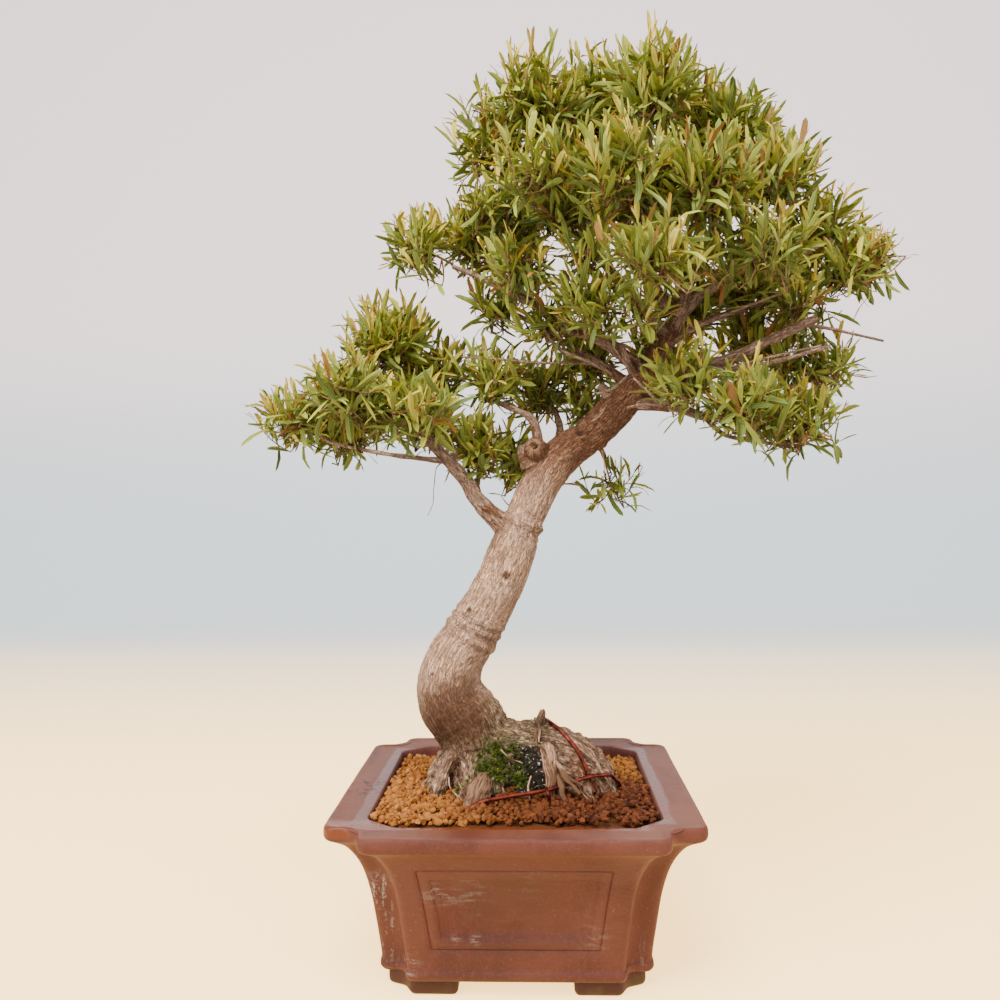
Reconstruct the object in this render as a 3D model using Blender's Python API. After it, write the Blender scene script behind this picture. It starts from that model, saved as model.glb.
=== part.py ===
"""A willow leaf fig bonsai in its square clay pot, modelled at real size.

Units are metres and +Z is up. The tree is modelled round the middle of its pot, with the pot's
feet on z = 0. At the end everything moves sideways together, so that the origin lies under the
middle of the whole tree.
"""
import math
import random

import bmesh
import bpy
from mathutils import Matrix, Vector, noise
from mathutils.bvhtree import BVHTree

# Clearance between pieces that touch, and the wider one that the lumpy roots need in the soil
GAP = 0.0004
ROOT_GAP = 0.0007

# After a cut, edges shorter than SLIVER close up and faces flatter than FLAT_ANGLE join
SLIVER = 0.00002
FLAT_ANGLE = 0.004

# Pot
POT_HEIGHT = 0.140
RIM_HALF = 0.150
RIM_NOTCH = (0.031, 0.026)
FOOT_HEIGHT = 0.014
FOOT_HALF = 0.104
FOOT_NOTCH = (0.021, 0.019)
FOOT_REACH = 0.046
FOOT_DEPTH = 0.024
FOOT_SUNK = 0.004
FLOOR_TOP = 0.026
CORNER_RADIUS = 0.0025
NOTCH_SHRINK = 0.20
PANEL_TOP = 0.108
PANEL_BOTTOM = 0.040
PANEL_TOP_HALF = 0.076
PANEL_BOTTOM_HALF = 0.066
PANEL_MARGIN = 0.009
PANEL_STEP = 0.0010
DRAIN_RADIUS = 0.016
WIRE_HOLE_RADIUS = 0.003
WIRE_HOLE_PLACE = 0.045
CORNER_FLIPS = [(1, 1), (-1, 1), (-1, -1), (1, -1)]

# Outer wall of the pot from the bottom up, as height and half width
WALL_OUTER = [
    (0.014, 0.1090), (0.017, 0.1107), (0.021, 0.1105), (0.025, 0.1096), (0.050, 0.1128),
    (0.075, 0.1166), (0.092, 0.1206), (0.103, 0.1246), (0.113, 0.1300), (0.121, 0.1365),
    (0.126, 0.1440), (0.129, 0.1492), (0.132, RIM_HALF), (0.138, RIM_HALF), (POT_HEIGHT, 0.1485),
]
# Top of the rim and the inner wall, from the outer bead inwards and down
WALL_INNER = [
    (POT_HEIGHT, 0.1455), (0.1388, 0.1440), (0.1388, 0.1190), (0.1375, 0.1172),
    (0.126, 0.1165), (0.100, 0.1125), (0.060, 0.1035), (FLOOR_TOP, 0.0990),
]

# Mesh over the drainage hole
SCREEN_HALF = 0.026
SCREEN_THICK = 0.0016
SCREEN_CELLS = 3
SCREEN_BAR = 0.0028

# Soil: level at the pot's middle, its fall towards the back, and the mound round the trunk
SOIL_LEVEL = 0.1335
SOIL_SPARE = 0.02
SOIL_FALL = 0.030
MOUND_HEIGHT = 0.008
MOUND_SPREAD = 0.075
MOUND_CENTRE = (-0.005, -0.020)
GRAIN_HEIGHT = 0.0026
GRAIN_PITCH = 0.0140

# Wood: every stretch is a list of (x, y, z, radius)
TRUNK = [
    (-0.028, -0.006, 0.120, 0.036), (-0.030, -0.004, 0.145, 0.034), (-0.034, -0.003, 0.172, 0.032),
    (-0.044, -0.002, 0.194, 0.032), (-0.056, -0.002, 0.210, 0.0312), (-0.060, -0.003, 0.229, 0.029),
    (-0.053, -0.005, 0.252, 0.0265), (-0.037, -0.007, 0.276, 0.0245), (-0.022, -0.009, 0.303, 0.0225),
    (-0.011, -0.010, 0.323, 0.0215), (0.000, -0.010, 0.352, 0.0205), (0.008, -0.009, 0.373, 0.0175),
    (0.017, -0.007, 0.393, 0.0175), (0.032, -0.003, 0.419, 0.0180), (0.049, 0.002, 0.437, 0.0175),
    (0.068, 0.006, 0.449, 0.0155), (0.086, 0.008, 0.466, 0.0165), (0.105, 0.006, 0.486, 0.0150),
    (0.120, 0.004, 0.505, 0.0120), (0.133, 0.002, 0.527, 0.0100), (0.143, 0.000, 0.546, 0.0085),
]
ROOTS = {
    "right_mass": [(-0.024, -0.005, 0.160, 0.034), (0.015, -0.008, 0.159, 0.036),
                   (0.044, -0.008, 0.152, 0.033), (0.066, -0.008, 0.144, 0.025),
                   (0.084, -0.006, 0.128, 0.012)],
    "ridge": [(0.004, -0.012, 0.188, 0.009), (0.040, -0.020, 0.180, 0.009),
              (0.066, -0.024, 0.162, 0.008), (0.084, -0.026, 0.134, 0.005)],
    "front": [(-0.030, -0.018, 0.162, 0.022), (-0.033, -0.046, 0.150, 0.013),
              (-0.030, -0.063, 0.141, 0.009), (-0.029, -0.074, 0.126, 0.005)],
    "left": [(-0.044, -0.004, 0.168, 0.024), (-0.062, -0.007, 0.152, 0.015),
             (-0.074, -0.010, 0.138, 0.010), (-0.084, -0.012, 0.122, 0.005)],
    "back_left": [(-0.038, 0.012, 0.162, 0.022), (-0.056, 0.038, 0.148, 0.012),
                  (-0.067, 0.056, 0.126, 0.006)],
    "back": [(-0.004, 0.012, 0.160, 0.026), (0.004, 0.046, 0.147, 0.014),
             (0.008, 0.068, 0.124, 0.006)],
    "back_right": [(0.042, 0.008, 0.156, 0.023), (0.062, 0.032, 0.144, 0.012),
                   (0.076, 0.050, 0.122, 0.006)],
    "front_middle": [(0.000, -0.020, 0.162, 0.020), (0.008, -0.044, 0.150, 0.010),
                     (0.012, -0.060, 0.126, 0.005)],
    "dead": [(0.028, -0.026, 0.178, 0.007), (0.031, -0.041, 0.163, 0.0075),
             (0.033, -0.046, 0.145, 0.007), (0.034, -0.047, 0.124, 0.005)],
    "snag": [(0.019, -0.010, 0.186, 0.005), (0.022, -0.010, 0.198, 0.0035),
             (0.023, -0.011, 0.205, 0.0020)],
}
LIMBS = {
    "leader": [(0.143, 0.000, 0.542, 0.0080), (0.155, -0.004, 0.574, 0.0070),
               (0.153, -0.004, 0.610, 0.0055), (0.141, 0.000, 0.652, 0.0045),
               (0.131, 0.004, 0.694, 0.0035), (0.122, 0.004, 0.732, 0.0025)],
    "low_left": [(0.000, -0.010, 0.358, 0.0095), (-0.030, -0.014, 0.391, 0.0072),
                 (-0.045, -0.018, 0.414, 0.0062), (-0.060, -0.022, 0.430, 0.0056),
                 (-0.083, -0.024, 0.457, 0.0042)],
    "low_left_fork": [(-0.058, -0.022, 0.427, 0.0030), (-0.074, -0.030, 0.429, 0.0024),
                      (-0.106, -0.042, 0.433, 0.0020), (-0.141, -0.038, 0.440, 0.0016),
                      (-0.166, -0.030, 0.447, 0.0013)],
    "low_left_side": [(-0.054, -0.020, 0.423, 0.0028), (-0.053, -0.006, 0.438, 0.0024),
                      (-0.065, 0.012, 0.458, 0.0020), (-0.074, 0.022, 0.474, 0.0016)],
    "low_left_top": [(-0.081, -0.024, 0.454, 0.0034), (-0.093, -0.020, 0.478, 0.0028),
                     (-0.104, -0.014, 0.506, 0.0022), (-0.110, -0.010, 0.522, 0.0016)],
    "low_left_tip": [(-0.081, -0.024, 0.454, 0.0032), (-0.104, -0.034, 0.466, 0.0025),
                     (-0.140, -0.038, 0.475, 0.0017)],
    "low_left_back": [(-0.081, -0.024, 0.454, 0.0028), (-0.103, 0.000, 0.468, 0.0022),
                      (-0.129, 0.022, 0.476, 0.0017)],
    "middle": [(0.024, -0.004, 0.436, 0.0050), (0.018, -0.006, 0.464, 0.0034),
               (-0.005, -0.002, 0.477, 0.0026), (-0.020, 0.002, 0.484, 0.0020)],
    "middle_back": [(0.042, 0.006, 0.440, 0.0050), (0.043, 0.034, 0.463, 0.0034),
                    (0.038, 0.048, 0.480, 0.0023)],
    "clump": [(-0.026, -0.012, 0.386, 0.0030), (-0.032, -0.002, 0.402, 0.0022),
              (-0.034, 0.002, 0.412, 0.0017)],
    "upper_left": [(0.119, 0.002, 0.507, 0.0075), (0.096, -0.006, 0.524, 0.0060),
                   (0.071, -0.012, 0.538, 0.0050), (0.036, -0.016, 0.557, 0.0042),
                   (0.008, -0.018, 0.572, 0.0035), (-0.023, -0.018, 0.588, 0.0027),
                   (-0.052, -0.016, 0.601, 0.0020)],
    "upper_left_back": [(0.036, -0.016, 0.557, 0.0030), (0.007, 0.002, 0.583, 0.0024),
                        (-0.016, 0.014, 0.606, 0.0018)],
    "upper_left_low": [(0.110, 0.004, 0.492, 0.0060), (0.080, 0.010, 0.516, 0.0036),
                       (0.044, 0.018, 0.540, 0.0028), (0.007, 0.020, 0.563, 0.0022),
                       (-0.028, 0.016, 0.578, 0.0015)],
    "crown_left": [(0.140, 0.000, 0.537, 0.0065), (0.114, -0.012, 0.564, 0.0052),
                   (0.086, -0.020, 0.595, 0.0046), (0.065, -0.022, 0.628, 0.0038),
                   (0.045, -0.020, 0.657, 0.0030), (0.027, -0.016, 0.694, 0.0022)],
    "crown_left_out": [(0.070, -0.022, 0.618, 0.0030), (0.044, -0.010, 0.638, 0.0025),
                       (0.013, -0.002, 0.663, 0.0020), (-0.006, 0.002, 0.684, 0.0015)],
    "crown_middle": [(0.147, -0.002, 0.554, 0.0055), (0.126, 0.014, 0.593, 0.0044),
                     (0.105, 0.022, 0.641, 0.0036), (0.092, 0.024, 0.689, 0.0028),
                     (0.083, 0.022, 0.736, 0.0019)],
    "crown_back": [(0.126, 0.014, 0.590, 0.0040), (0.116, 0.050, 0.640, 0.0030),
                   (0.108, 0.076, 0.690, 0.0020)],
    "crown_front": [(0.154, -0.006, 0.579, 0.0046), (0.135, -0.040, 0.590, 0.0034),
                    (0.118, -0.066, 0.606, 0.0025), (0.106, -0.080, 0.630, 0.0017)],
    "crown_right": [(0.155, -0.004, 0.577, 0.0052), (0.176, 0.004, 0.617, 0.0040),
                    (0.191, 0.008, 0.658, 0.0032), (0.196, 0.010, 0.700, 0.0020)],
    "crown_right_front": [(0.173, 0.002, 0.610, 0.0034), (0.174, -0.032, 0.628, 0.0026),
                          (0.166, -0.056, 0.642, 0.0018)],
    "right_high": [(0.135, 0.002, 0.530, 0.0080), (0.153, -0.002, 0.560, 0.0066),
                   (0.178, -0.006, 0.582, 0.0054), (0.205, -0.008, 0.596, 0.0044),
                   (0.249, -0.008, 0.605, 0.0030), (0.285, -0.006, 0.620, 0.0019)],
    "right_high_up": [(0.188, -0.006, 0.587, 0.0036), (0.202, -0.014, 0.611, 0.0028),
                      (0.221, -0.018, 0.640, 0.0018)],
    "right_back": [(0.160, -0.002, 0.567, 0.0048), (0.198, 0.034, 0.587, 0.0034),
                   (0.241, 0.056, 0.606, 0.0022)],
    "right_long": [(0.138, 0.002, 0.532, 0.0050), (0.171, 0.014, 0.552, 0.0038),
                   (0.209, 0.022, 0.565, 0.0030), (0.254, 0.026, 0.581, 0.0022),
                   (0.284, 0.024, 0.591, 0.0016)],
    "right_cut": [(0.122, 0.000, 0.500, 0.0070), (0.157, -0.012, 0.505, 0.0056),
                  (0.200, -0.020, 0.518, 0.0048), (0.228, -0.024, 0.531, 0.0044),
                  (0.265, -0.026, 0.547, 0.0038)],
    "right_cut_twig": [(0.255, -0.026, 0.542, 0.0020), (0.280, -0.026, 0.537, 0.0014),
                       (0.322, -0.024, 0.527, 0.0010)],
    "right_thin": [(0.164, -0.013, 0.506, 0.0030), (0.204, -0.036, 0.504, 0.0022),
                   (0.270, -0.044, 0.520, 0.0016)],
    "right_low": [(0.104, 0.004, 0.480, 0.0070), (0.145, -0.012, 0.473, 0.0046),
                  (0.171, -0.020, 0.464, 0.0040), (0.213, -0.026, 0.468, 0.0032)],
    "right_low_twig": [(0.168, -0.018, 0.465, 0.0026), (0.185, -0.026, 0.447, 0.0020),
                       (0.218, -0.030, 0.440, 0.0016), (0.238, -0.028, 0.436, 0.0013)],
    "right_middle": [(0.108, 0.006, 0.486, 0.0060), (0.161, 0.014, 0.489, 0.0032),
                     (0.197, 0.012, 0.492, 0.0024), (0.254, 0.006, 0.492, 0.0016)],
    "right_middle_back": [(0.161, 0.014, 0.489, 0.0027), (0.193, 0.034, 0.512, 0.0021),
                          (0.220, 0.046, 0.533, 0.0016)],
    "hanging": [(0.068, 0.010, 0.447, 0.0045), (0.081, 0.034, 0.440, 0.0028),
                (0.086, 0.044, 0.431, 0.0020)],
    "stub_broken": [(0.095, 0.008, 0.475, 0.0080), (0.085, 0.004, 0.488, 0.0058),
                    (0.079, 0.003, 0.496, 0.0036)],
    "stub_cut": [(0.113, 0.004, 0.500, 0.0050), (0.101, -0.014, 0.516, 0.0030),
                 (0.096, -0.020, 0.528, 0.0024)],
    "hook_twig": [(0.071, -0.012, 0.537, 0.0024), (0.052, -0.026, 0.538, 0.0016),
                  (0.041, -0.030, 0.550, 0.0013), (0.050, -0.034, 0.570, 0.0010)],
    "knot": [(0.017, -0.006, 0.425, 0.0120), (0.011, -0.008, 0.437, 0.0075),
             (0.009, -0.009, 0.442, 0.0045)],
}
TRUNK_SIDES = 12
BURIED_POINTS = 5
ROOT_SIDES = 7
LIMB_SIDES = 6
THIN_SIDES = 4
THICK_LIMB = 0.0062

# Ring scars on the trunk: the point of TRUNK they lie at, and how far they stand out
SCARS = [(7, 0.0012), (11, 0.0014)]

# Leaf pads: centre, and reach along x, y and z
PADS = {
    "left_1": ((-0.197, -0.012, 0.471), (0.034, 0.042, 0.030)),
    "left_2": ((-0.144, -0.044, 0.495), (0.039, 0.040, 0.036)),
    "left_3": ((-0.112, -0.006, 0.540), (0.040, 0.046, 0.041)),
    "left_4": ((-0.077, 0.034, 0.515), (0.038, 0.038, 0.038)),
    "left_5": ((-0.152, 0.024, 0.469), (0.047, 0.040, 0.026)),
    "left_6": ((-0.083, -0.050, 0.472), (0.034, 0.034, 0.027)),
    "middle_1": ((-0.019, 0.004, 0.506), (0.031, 0.036, 0.027)),
    "middle_2": ((0.031, 0.062, 0.505), (0.041, 0.042, 0.037)),
    "middle_3": ((-0.034, 0.008, 0.441), (0.022, 0.026, 0.024)),
    "upper_1": ((-0.083, -0.014, 0.623), (0.030, 0.036, 0.030)),
    "upper_2": ((-0.041, 0.024, 0.641), (0.039, 0.040, 0.032)),
    "upper_3": ((0.004, -0.044, 0.597), (0.034, 0.036, 0.029)),
    "crown_1": ((-0.020, 0.002, 0.718), (0.036, 0.046, 0.047)),
    "crown_2": ((0.018, -0.028, 0.749), (0.040, 0.046, 0.045)),
    "crown_3": ((0.076, 0.026, 0.770), (0.049, 0.050, 0.042)),
    "crown_4": ((0.123, -0.036, 0.755), (0.045, 0.048, 0.045)),
    "crown_5": ((0.182, 0.022, 0.745), (0.046, 0.048, 0.045)),
    "crown_6": ((0.030, -0.076, 0.667), (0.041, 0.042, 0.038)),
    "crown_7": ((0.090, -0.104, 0.660), (0.044, 0.042, 0.038)),
    "crown_8": ((0.155, -0.084, 0.656), (0.045, 0.044, 0.041)),
    "crown_9": ((0.110, -0.112, 0.588), (0.043, 0.038, 0.031)),
    "crown_10": ((0.043, 0.084, 0.700), (0.058, 0.044, 0.052)),
    "crown_11": ((0.145, 0.100, 0.700), (0.061, 0.044, 0.052)),
    "crown_12": ((0.067, -0.052, 0.563), (0.034, 0.036, 0.037)),
    "right_1": ((0.231, -0.022, 0.676), (0.041, 0.046, 0.035)),
    "right_2": ((0.284, 0.022, 0.645), (0.044, 0.046, 0.037)),
    "right_3": ((0.309, -0.012, 0.604), (0.033, 0.040, 0.032)),
    "right_4": ((0.217, -0.066, 0.605), (0.042, 0.042, 0.033)),
    "right_5": ((0.250, 0.084, 0.620), (0.054, 0.042, 0.044)),
    "low_1": ((0.144, -0.054, 0.499), (0.037, 0.038, 0.032)),
    "low_2": ((0.190, -0.066, 0.475), (0.037, 0.038, 0.030)),
    "low_3": ((0.250, -0.024, 0.463), (0.040, 0.042, 0.037)),
    "low_4": ((0.285, 0.020, 0.516), (0.031, 0.038, 0.033)),
    "low_5": ((0.236, 0.058, 0.550), (0.048, 0.040, 0.035)),
    "hanging_1": ((0.093, 0.048, 0.409), (0.036, 0.034, 0.027)),
}

# Shoots: how many a pad has, the stretches of each, and how far their tips stay inside the pad
SEED = 20
SHOOTS_PER_PAD = 3
STRETCHES = 3
TIP_INSET = 0.018
SHORTEST_SHOOT = 0.016
SHORTEST_STEM = 0.012
STEM_FOOT = 0.002
STEM_STRETCHES = 3
STEM_CURVE = 0.45
SHOOT_CURVE = 0.005
LIMB_STEPS = 5
LIMBS_TRIED = 60
SHOOT_TRIES = 10
SHOOT_WOBBLE = 0.35
TWIG_RADIUS = 0.0013
SHOOT_RADIUS = 0.0010
SHOOT_TAPER = 0.85

# Leaves: their lean away from the twig at its side and at its end, and their sideways slide
BLADE_TRIES = 8
SIDE_LEAN = (0.6, 1.3)
END_LEAN = (-0.1, 0.1)
LEAF_SLIDE = 0.35
LEAF_LENGTH = (0.024, 0.032)
LEAF_WIDTH = 0.0050
LEAF_THICK = 0.0009
LEAF_ARCH = 0.0018
LEAF_WIDEST = 0.45
LEAF_LIFT = 0.2
ROOT_CLEAR = 0.0025
TEST_MARGIN = 0.0004
GOLDEN_ANGLE = math.pi * (3 - math.sqrt(5))

# Copper anchor wires, as points that are then laid on the wood
WIRE_RADIUS = 0.00115
WIRE_SIDES = 5
WIRE_STEP = 0.0060
WIRE_DETAIL = 8
WIRE_ROUNDS = 12
WIRE_LIFT_STEP = 0.0003
WIRE_LIFT_LIMIT = 0.004
WIRES = {
    "wire_over": [(0.074, -0.042, 0.126), (0.069, -0.037, 0.142), (0.063, -0.037, 0.152),
                  (0.056, -0.034, 0.166), (0.047, -0.028, 0.180), (0.036, -0.020, 0.192),
                  (0.027, -0.006, 0.196), (0.022, 0.010, 0.194), (0.024, 0.024, 0.182),
                  (0.028, 0.036, 0.162), (0.030, 0.044, 0.142), (0.031, 0.048, 0.124)],
    "wire_front": [(-0.047, -0.080, 0.126), (-0.042, -0.077, 0.140), (-0.026, -0.074, 0.146),
                   (0.004, -0.066, 0.147), (0.030, -0.058, 0.149), (0.048, -0.049, 0.153),
                   (0.064, -0.040, 0.156), (0.078, -0.028, 0.154), (0.088, -0.014, 0.144),
                   (0.092, -0.008, 0.126)],
}

# Colours, roughness and metallic value of each material
FINISHES = {
    "pot_clay": ((0.26, 0.09, 0.05), 0.62, 0.0),
    "akadama": ((0.42, 0.22, 0.08), 0.95, 0.0),
    "bark": ((0.45, 0.32, 0.23), 0.85, 0.0),
    "leaf": ((0.20, 0.30, 0.04), 0.45, 0.0),
    "copper": ((0.42, 0.17, 0.09), 0.40, 1.0),
    "screen_plastic": ((0.03, 0.03, 0.03), 0.60, 0.0),
}


def clear_scene():
    """Remove what the file opened with."""
    for old in list(bpy.data.objects):
        bpy.data.objects.remove(old, do_unlink=True)


def finish(name):
    """One Principled material, made once."""
    material = bpy.data.materials.get(name)
    if material is None:
        colour, roughness, metallic = FINISHES[name]
        material = bpy.data.materials.new(name)
        material.use_nodes = True
        shader = material.node_tree.nodes["Principled BSDF"]
        shader.inputs["Base Color"].default_value = (*colour, 1.0)
        shader.inputs["Roughness"].default_value = roughness
        shader.inputs["Metallic"].default_value = metallic
    return material


def add_object(name, bm, material=None):
    """Turn a bmesh into an object in the scene, with flat triangles that point out."""
    bmesh.ops.triangulate(bm, faces=bm.faces)
    bmesh.ops.recalc_face_normals(bm, faces=bm.faces)
    mesh = bpy.data.meshes.new(name)
    bm.to_mesh(mesh)
    bm.free()
    made = bpy.data.objects.new(name, mesh)
    bpy.context.collection.objects.link(made)
    if material:
        mesh.materials.append(finish(material))
    return made


def face_islands(bm):
    """The faces of a mesh, grouped by the edges that they share."""
    unseen = set(bm.faces)
    islands = []
    while unseen:
        island = {unseen.pop()}
        stack = list(island)
        while stack:
            for edge in stack.pop().edges:
                fresh = unseen.intersection(edge.link_faces)
                unseen -= fresh
                island |= fresh
                stack += fresh
        islands.append(island)
    return sorted(islands, key=len, reverse=True)


def keep_largest(bm):
    """Drop the loose scraps that a cut can leave."""
    for island in face_islands(bm)[1:]:
        bmesh.ops.delete(bm, geom=list(island), context="FACES")


def combine(target, others, operation, solver="EXACT"):
    """Apply one Boolean of a collection of solids to target, then remove those solids."""
    group = bpy.data.collections.new("operands")
    bpy.context.scene.collection.children.link(group)
    for other in others:
        bpy.context.collection.objects.unlink(other)
        group.objects.link(other)
    boolean = target.modifiers.new("combine", "BOOLEAN")
    boolean.operation = operation
    boolean.operand_type = "COLLECTION"
    boolean.collection = group
    boolean.solver = solver
    bpy.context.view_layer.update()
    evaluated = target.evaluated_get(bpy.context.evaluated_depsgraph_get())
    bm = bmesh.new()
    bm.from_mesh(evaluated.to_mesh())
    target.modifiers.remove(boolean)
    keep_largest(bm)
    bmesh.ops.remove_doubles(bm, verts=bm.verts, dist=SLIVER)
    bmesh.ops.dissolve_limit(bm, angle_limit=FLAT_ANGLE, verts=bm.verts, edges=bm.edges)
    bmesh.ops.triangulate(bm, faces=bm.faces)
    bm.to_mesh(target.data)
    bm.free()
    for other in list(group.objects):
        bpy.data.objects.remove(other, do_unlink=True)
    bpy.data.collections.remove(group)
    return target


def smooth_route(points, steps):
    """Read a smooth curve through (x, y, z, radius) points, with steps stretches between two."""
    padded = [points[0]] + list(points) + [points[-1]]
    route = []
    for index in range(1, len(padded) - 2):
        before, start, end, after = (Vector(padded[index + shift]) for shift in (-1, 0, 1, 2))
        for step in range(steps):
            t = step / steps
            curve = 2 * start + (end - before) * t
            curve += (2 * before - 5 * start + 4 * end - after) * t ** 2
            curve += (3 * start - 3 * end + after - before) * t ** 3
            route.append(curve / 2)
    route.append(Vector(points[-1]))
    return [(Vector(values[:3]), values[3]) for values in route]


def lengthened(route, extra):
    """A route whose two ends reach further out by extra."""
    first, second = route[0][0], route[1][0]
    last, before = route[-1][0], route[-2][0]
    start = (first + (first - second).normalized() * extra, route[0][1])
    end = (last + (last - before).normalized() * extra, route[-1][1])
    return [start] + route[1:-1] + [end]


def tube(route, sides, swell=None):
    """Sweep a ring of points along a route of (place, radius), and close both ends."""
    bm = bmesh.new()
    side = Vector((0, 1, 0))
    rings = []
    for index, (place, radius) in enumerate(route):
        ahead = route[min(index + 1, len(route) - 1)][0]
        behind = route[max(index - 1, 0)][0]
        along = (ahead - behind).normalized()
        side = (side - along * side.dot(along)).normalized()
        across = along.cross(side)
        ring = []
        for corner in range(sides):
            angle = 2 * math.pi * corner / sides
            outward = side * math.cos(angle) + across * math.sin(angle)
            reach = radius
            if swell:
                reach += swell(index, place + outward * radius, radius)
            ring.append(bm.verts.new(place + outward * reach))
        rings.append(ring)
    for lower, upper in zip(rings, rings[1:]):
        for corner in range(sides):
            following = (corner + 1) % sides
            bm.faces.new((lower[corner], lower[following], upper[following], upper[corner]))
    bm.faces.new(reversed(rings[0]))
    bm.faces.new(rings[-1])
    return bm


def notched_outline(half, notch, radius, steps=1):
    """Plan of the pot: a square with stepped-in corners, each corner rounded by a short arc."""
    notch_x, notch_y = notch
    quarter = [(half, half - notch_y), (half - notch_x, half - notch_y), (half - notch_x, half)]
    corners = []
    for flip_x, flip_y in CORNER_FLIPS:
        turned = [Vector((x * flip_x, y * flip_y)) for x, y in quarter]
        corners += turned if flip_x * flip_y > 0 else reversed(turned)
    outline = []
    for index, corner in enumerate(corners):
        back = (corners[index - 1] - corner).normalized() * radius
        ahead = (corners[(index + 1) % len(corners)] - corner).normalized() * radius
        for step in range(steps + 1):
            angle = math.pi / 2 * step / steps
            offset = back * (1 - math.sin(angle)) + ahead * (1 - math.cos(angle))
            outline.append(corner + offset)
    return outline


def loft(sections):
    """Close a solid over a list of (height, outline) sections."""
    bm = bmesh.new()
    rings = [[bm.verts.new((x, y, height)) for x, y in outline] for height, outline in sections]
    for lower, upper in zip(rings, rings[1:]):
        for index in range(len(lower)):
            following = (index + 1) % len(lower)
            bm.faces.new((lower[index], lower[following], upper[following], upper[index]))
    bm.faces.new(reversed(rings[0]))
    bm.faces.new(rings[-1])
    return bm


def wall_section(height, half):
    """One level of the pot's wall. Its notch narrows a little as the wall draws in."""
    notch = [side - (RIM_HALF - half) * NOTCH_SHRINK for side in RIM_NOTCH]
    return height, notched_outline(half, notch, CORNER_RADIUS)


def prism(outline, bottom, top):
    """An upright solid over a plan outline."""
    return loft([(bottom, outline), (top, outline)])


def panel_cutter(margin, depth):
    """A slab that sinks the front wall's panel by depth, margin inside its outer line."""
    bm = bmesh.new()
    bmesh.ops.create_cube(bm, size=1.0)
    for vertex in bm.verts:
        at_top = vertex.co.z > 0
        height = PANEL_TOP - margin if at_top else PANEL_BOTTOM + margin
        half = PANEL_TOP_HALF if at_top else PANEL_BOTTOM_HALF
        wall = wall_half(height)
        vertex.co.x = math.copysign(half - margin, vertex.co.x)
        vertex.co.y = -(wall - depth) if vertex.co.y > 0 else -(wall + POT_HEIGHT)
        vertex.co.z = height
    return bm


def wall_half(height):
    """Half width of the outer wall at a height, read between the profile's points."""
    for (low, low_half), (high, high_half) in zip(WALL_OUTER, WALL_OUTER[1:]):
        if low <= height <= high:
            return low_half + (high_half - low_half) * (height - low) / (high - low)
    return RIM_HALF


def make_pot():
    """One fired-clay piece: walls, rim, floor, four corner feet, panels and drainage holes."""
    sections = [wall_section(*level) for level in WALL_OUTER + WALL_INNER]
    pot = add_object("pot", loft(sections), "pot_clay")
    feet = []
    for flip_x, flip_y in CORNER_FLIPS:
        inner = FOOT_HALF - FOOT_DEPTH
        outline = [(FOOT_REACH, FOOT_HALF), (FOOT_REACH, inner), (inner, inner),
                   (inner, FOOT_REACH), (FOOT_HALF, FOOT_REACH),
                   (FOOT_HALF, FOOT_HALF - FOOT_NOTCH[1]),
                   (FOOT_HALF - FOOT_NOTCH[0], FOOT_HALF - FOOT_NOTCH[1]),
                   (FOOT_HALF - FOOT_NOTCH[0], FOOT_HALF)]
        turned = [(x * flip_x, y * flip_y) for x, y in outline]
        feet.append(add_object("foot", prism(turned, 0.0, FOOT_HEIGHT + FOOT_SUNK)))
    combine(pot, feet, "UNION")
    outer = []
    inner = []
    for turn in range(4):
        rotation = Matrix.Rotation(math.pi / 2 * turn, 4, "Z")
        for margin, depth, group in ((0, PANEL_STEP, outer), (PANEL_MARGIN, 2 * PANEL_STEP, inner)):
            bm = panel_cutter(margin, depth)
            bm.transform(rotation)
            group.append(add_object("panel", bm))
    combine(pot, outer, "DIFFERENCE")
    combine(pot, inner, "DIFFERENCE")
    holes = []
    places = [(0.0, 0.0, DRAIN_RADIUS, 16)]
    for flip_x, flip_y in CORNER_FLIPS:
        places.append((flip_x * WIRE_HOLE_PLACE, flip_y * WIRE_HOLE_PLACE, WIRE_HOLE_RADIUS, 8))
    for x, y, radius, sides in places:
        bm = bmesh.new()
        bmesh.ops.create_cone(bm, cap_ends=True, segments=sides, radius1=radius, radius2=radius,
                              depth=2 * FLOOR_TOP, matrix=Matrix.Translation((x, y, FLOOR_TOP)))
        holes.append(add_object("hole", bm))
    combine(pot, holes, "DIFFERENCE")
    return pot


def make_screen():
    """The plastic mesh over the drainage hole: a plate with square openings."""
    bottom = FLOOR_TOP + GAP
    bm = bmesh.new()
    bmesh.ops.create_cube(bm, size=1.0)
    bmesh.ops.scale(bm, vec=(2 * SCREEN_HALF, 2 * SCREEN_HALF, SCREEN_THICK), verts=bm.verts)
    bmesh.ops.translate(bm, vec=(0, 0, bottom + SCREEN_THICK / 2), verts=bm.verts)
    screen = add_object("drain_screen", bm, "screen_plastic")
    pitch = (2 * SCREEN_HALF - SCREEN_BAR) / SCREEN_CELLS
    cells = []
    for column in range(SCREEN_CELLS):
        for row in range(SCREEN_CELLS):
            x = (column - (SCREEN_CELLS - 1) / 2) * pitch
            y = (row - (SCREEN_CELLS - 1) / 2) * pitch
            bm = bmesh.new()
            bmesh.ops.create_cube(bm, size=1.0)
            bmesh.ops.scale(bm, vec=(pitch - SCREEN_BAR, pitch - SCREEN_BAR, 0.01), verts=bm.verts)
            bmesh.ops.translate(bm, vec=(x, y, bottom), verts=bm.verts)
            cells.append(add_object("cell", bm))
    return combine(screen, cells, "DIFFERENCE")


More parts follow.
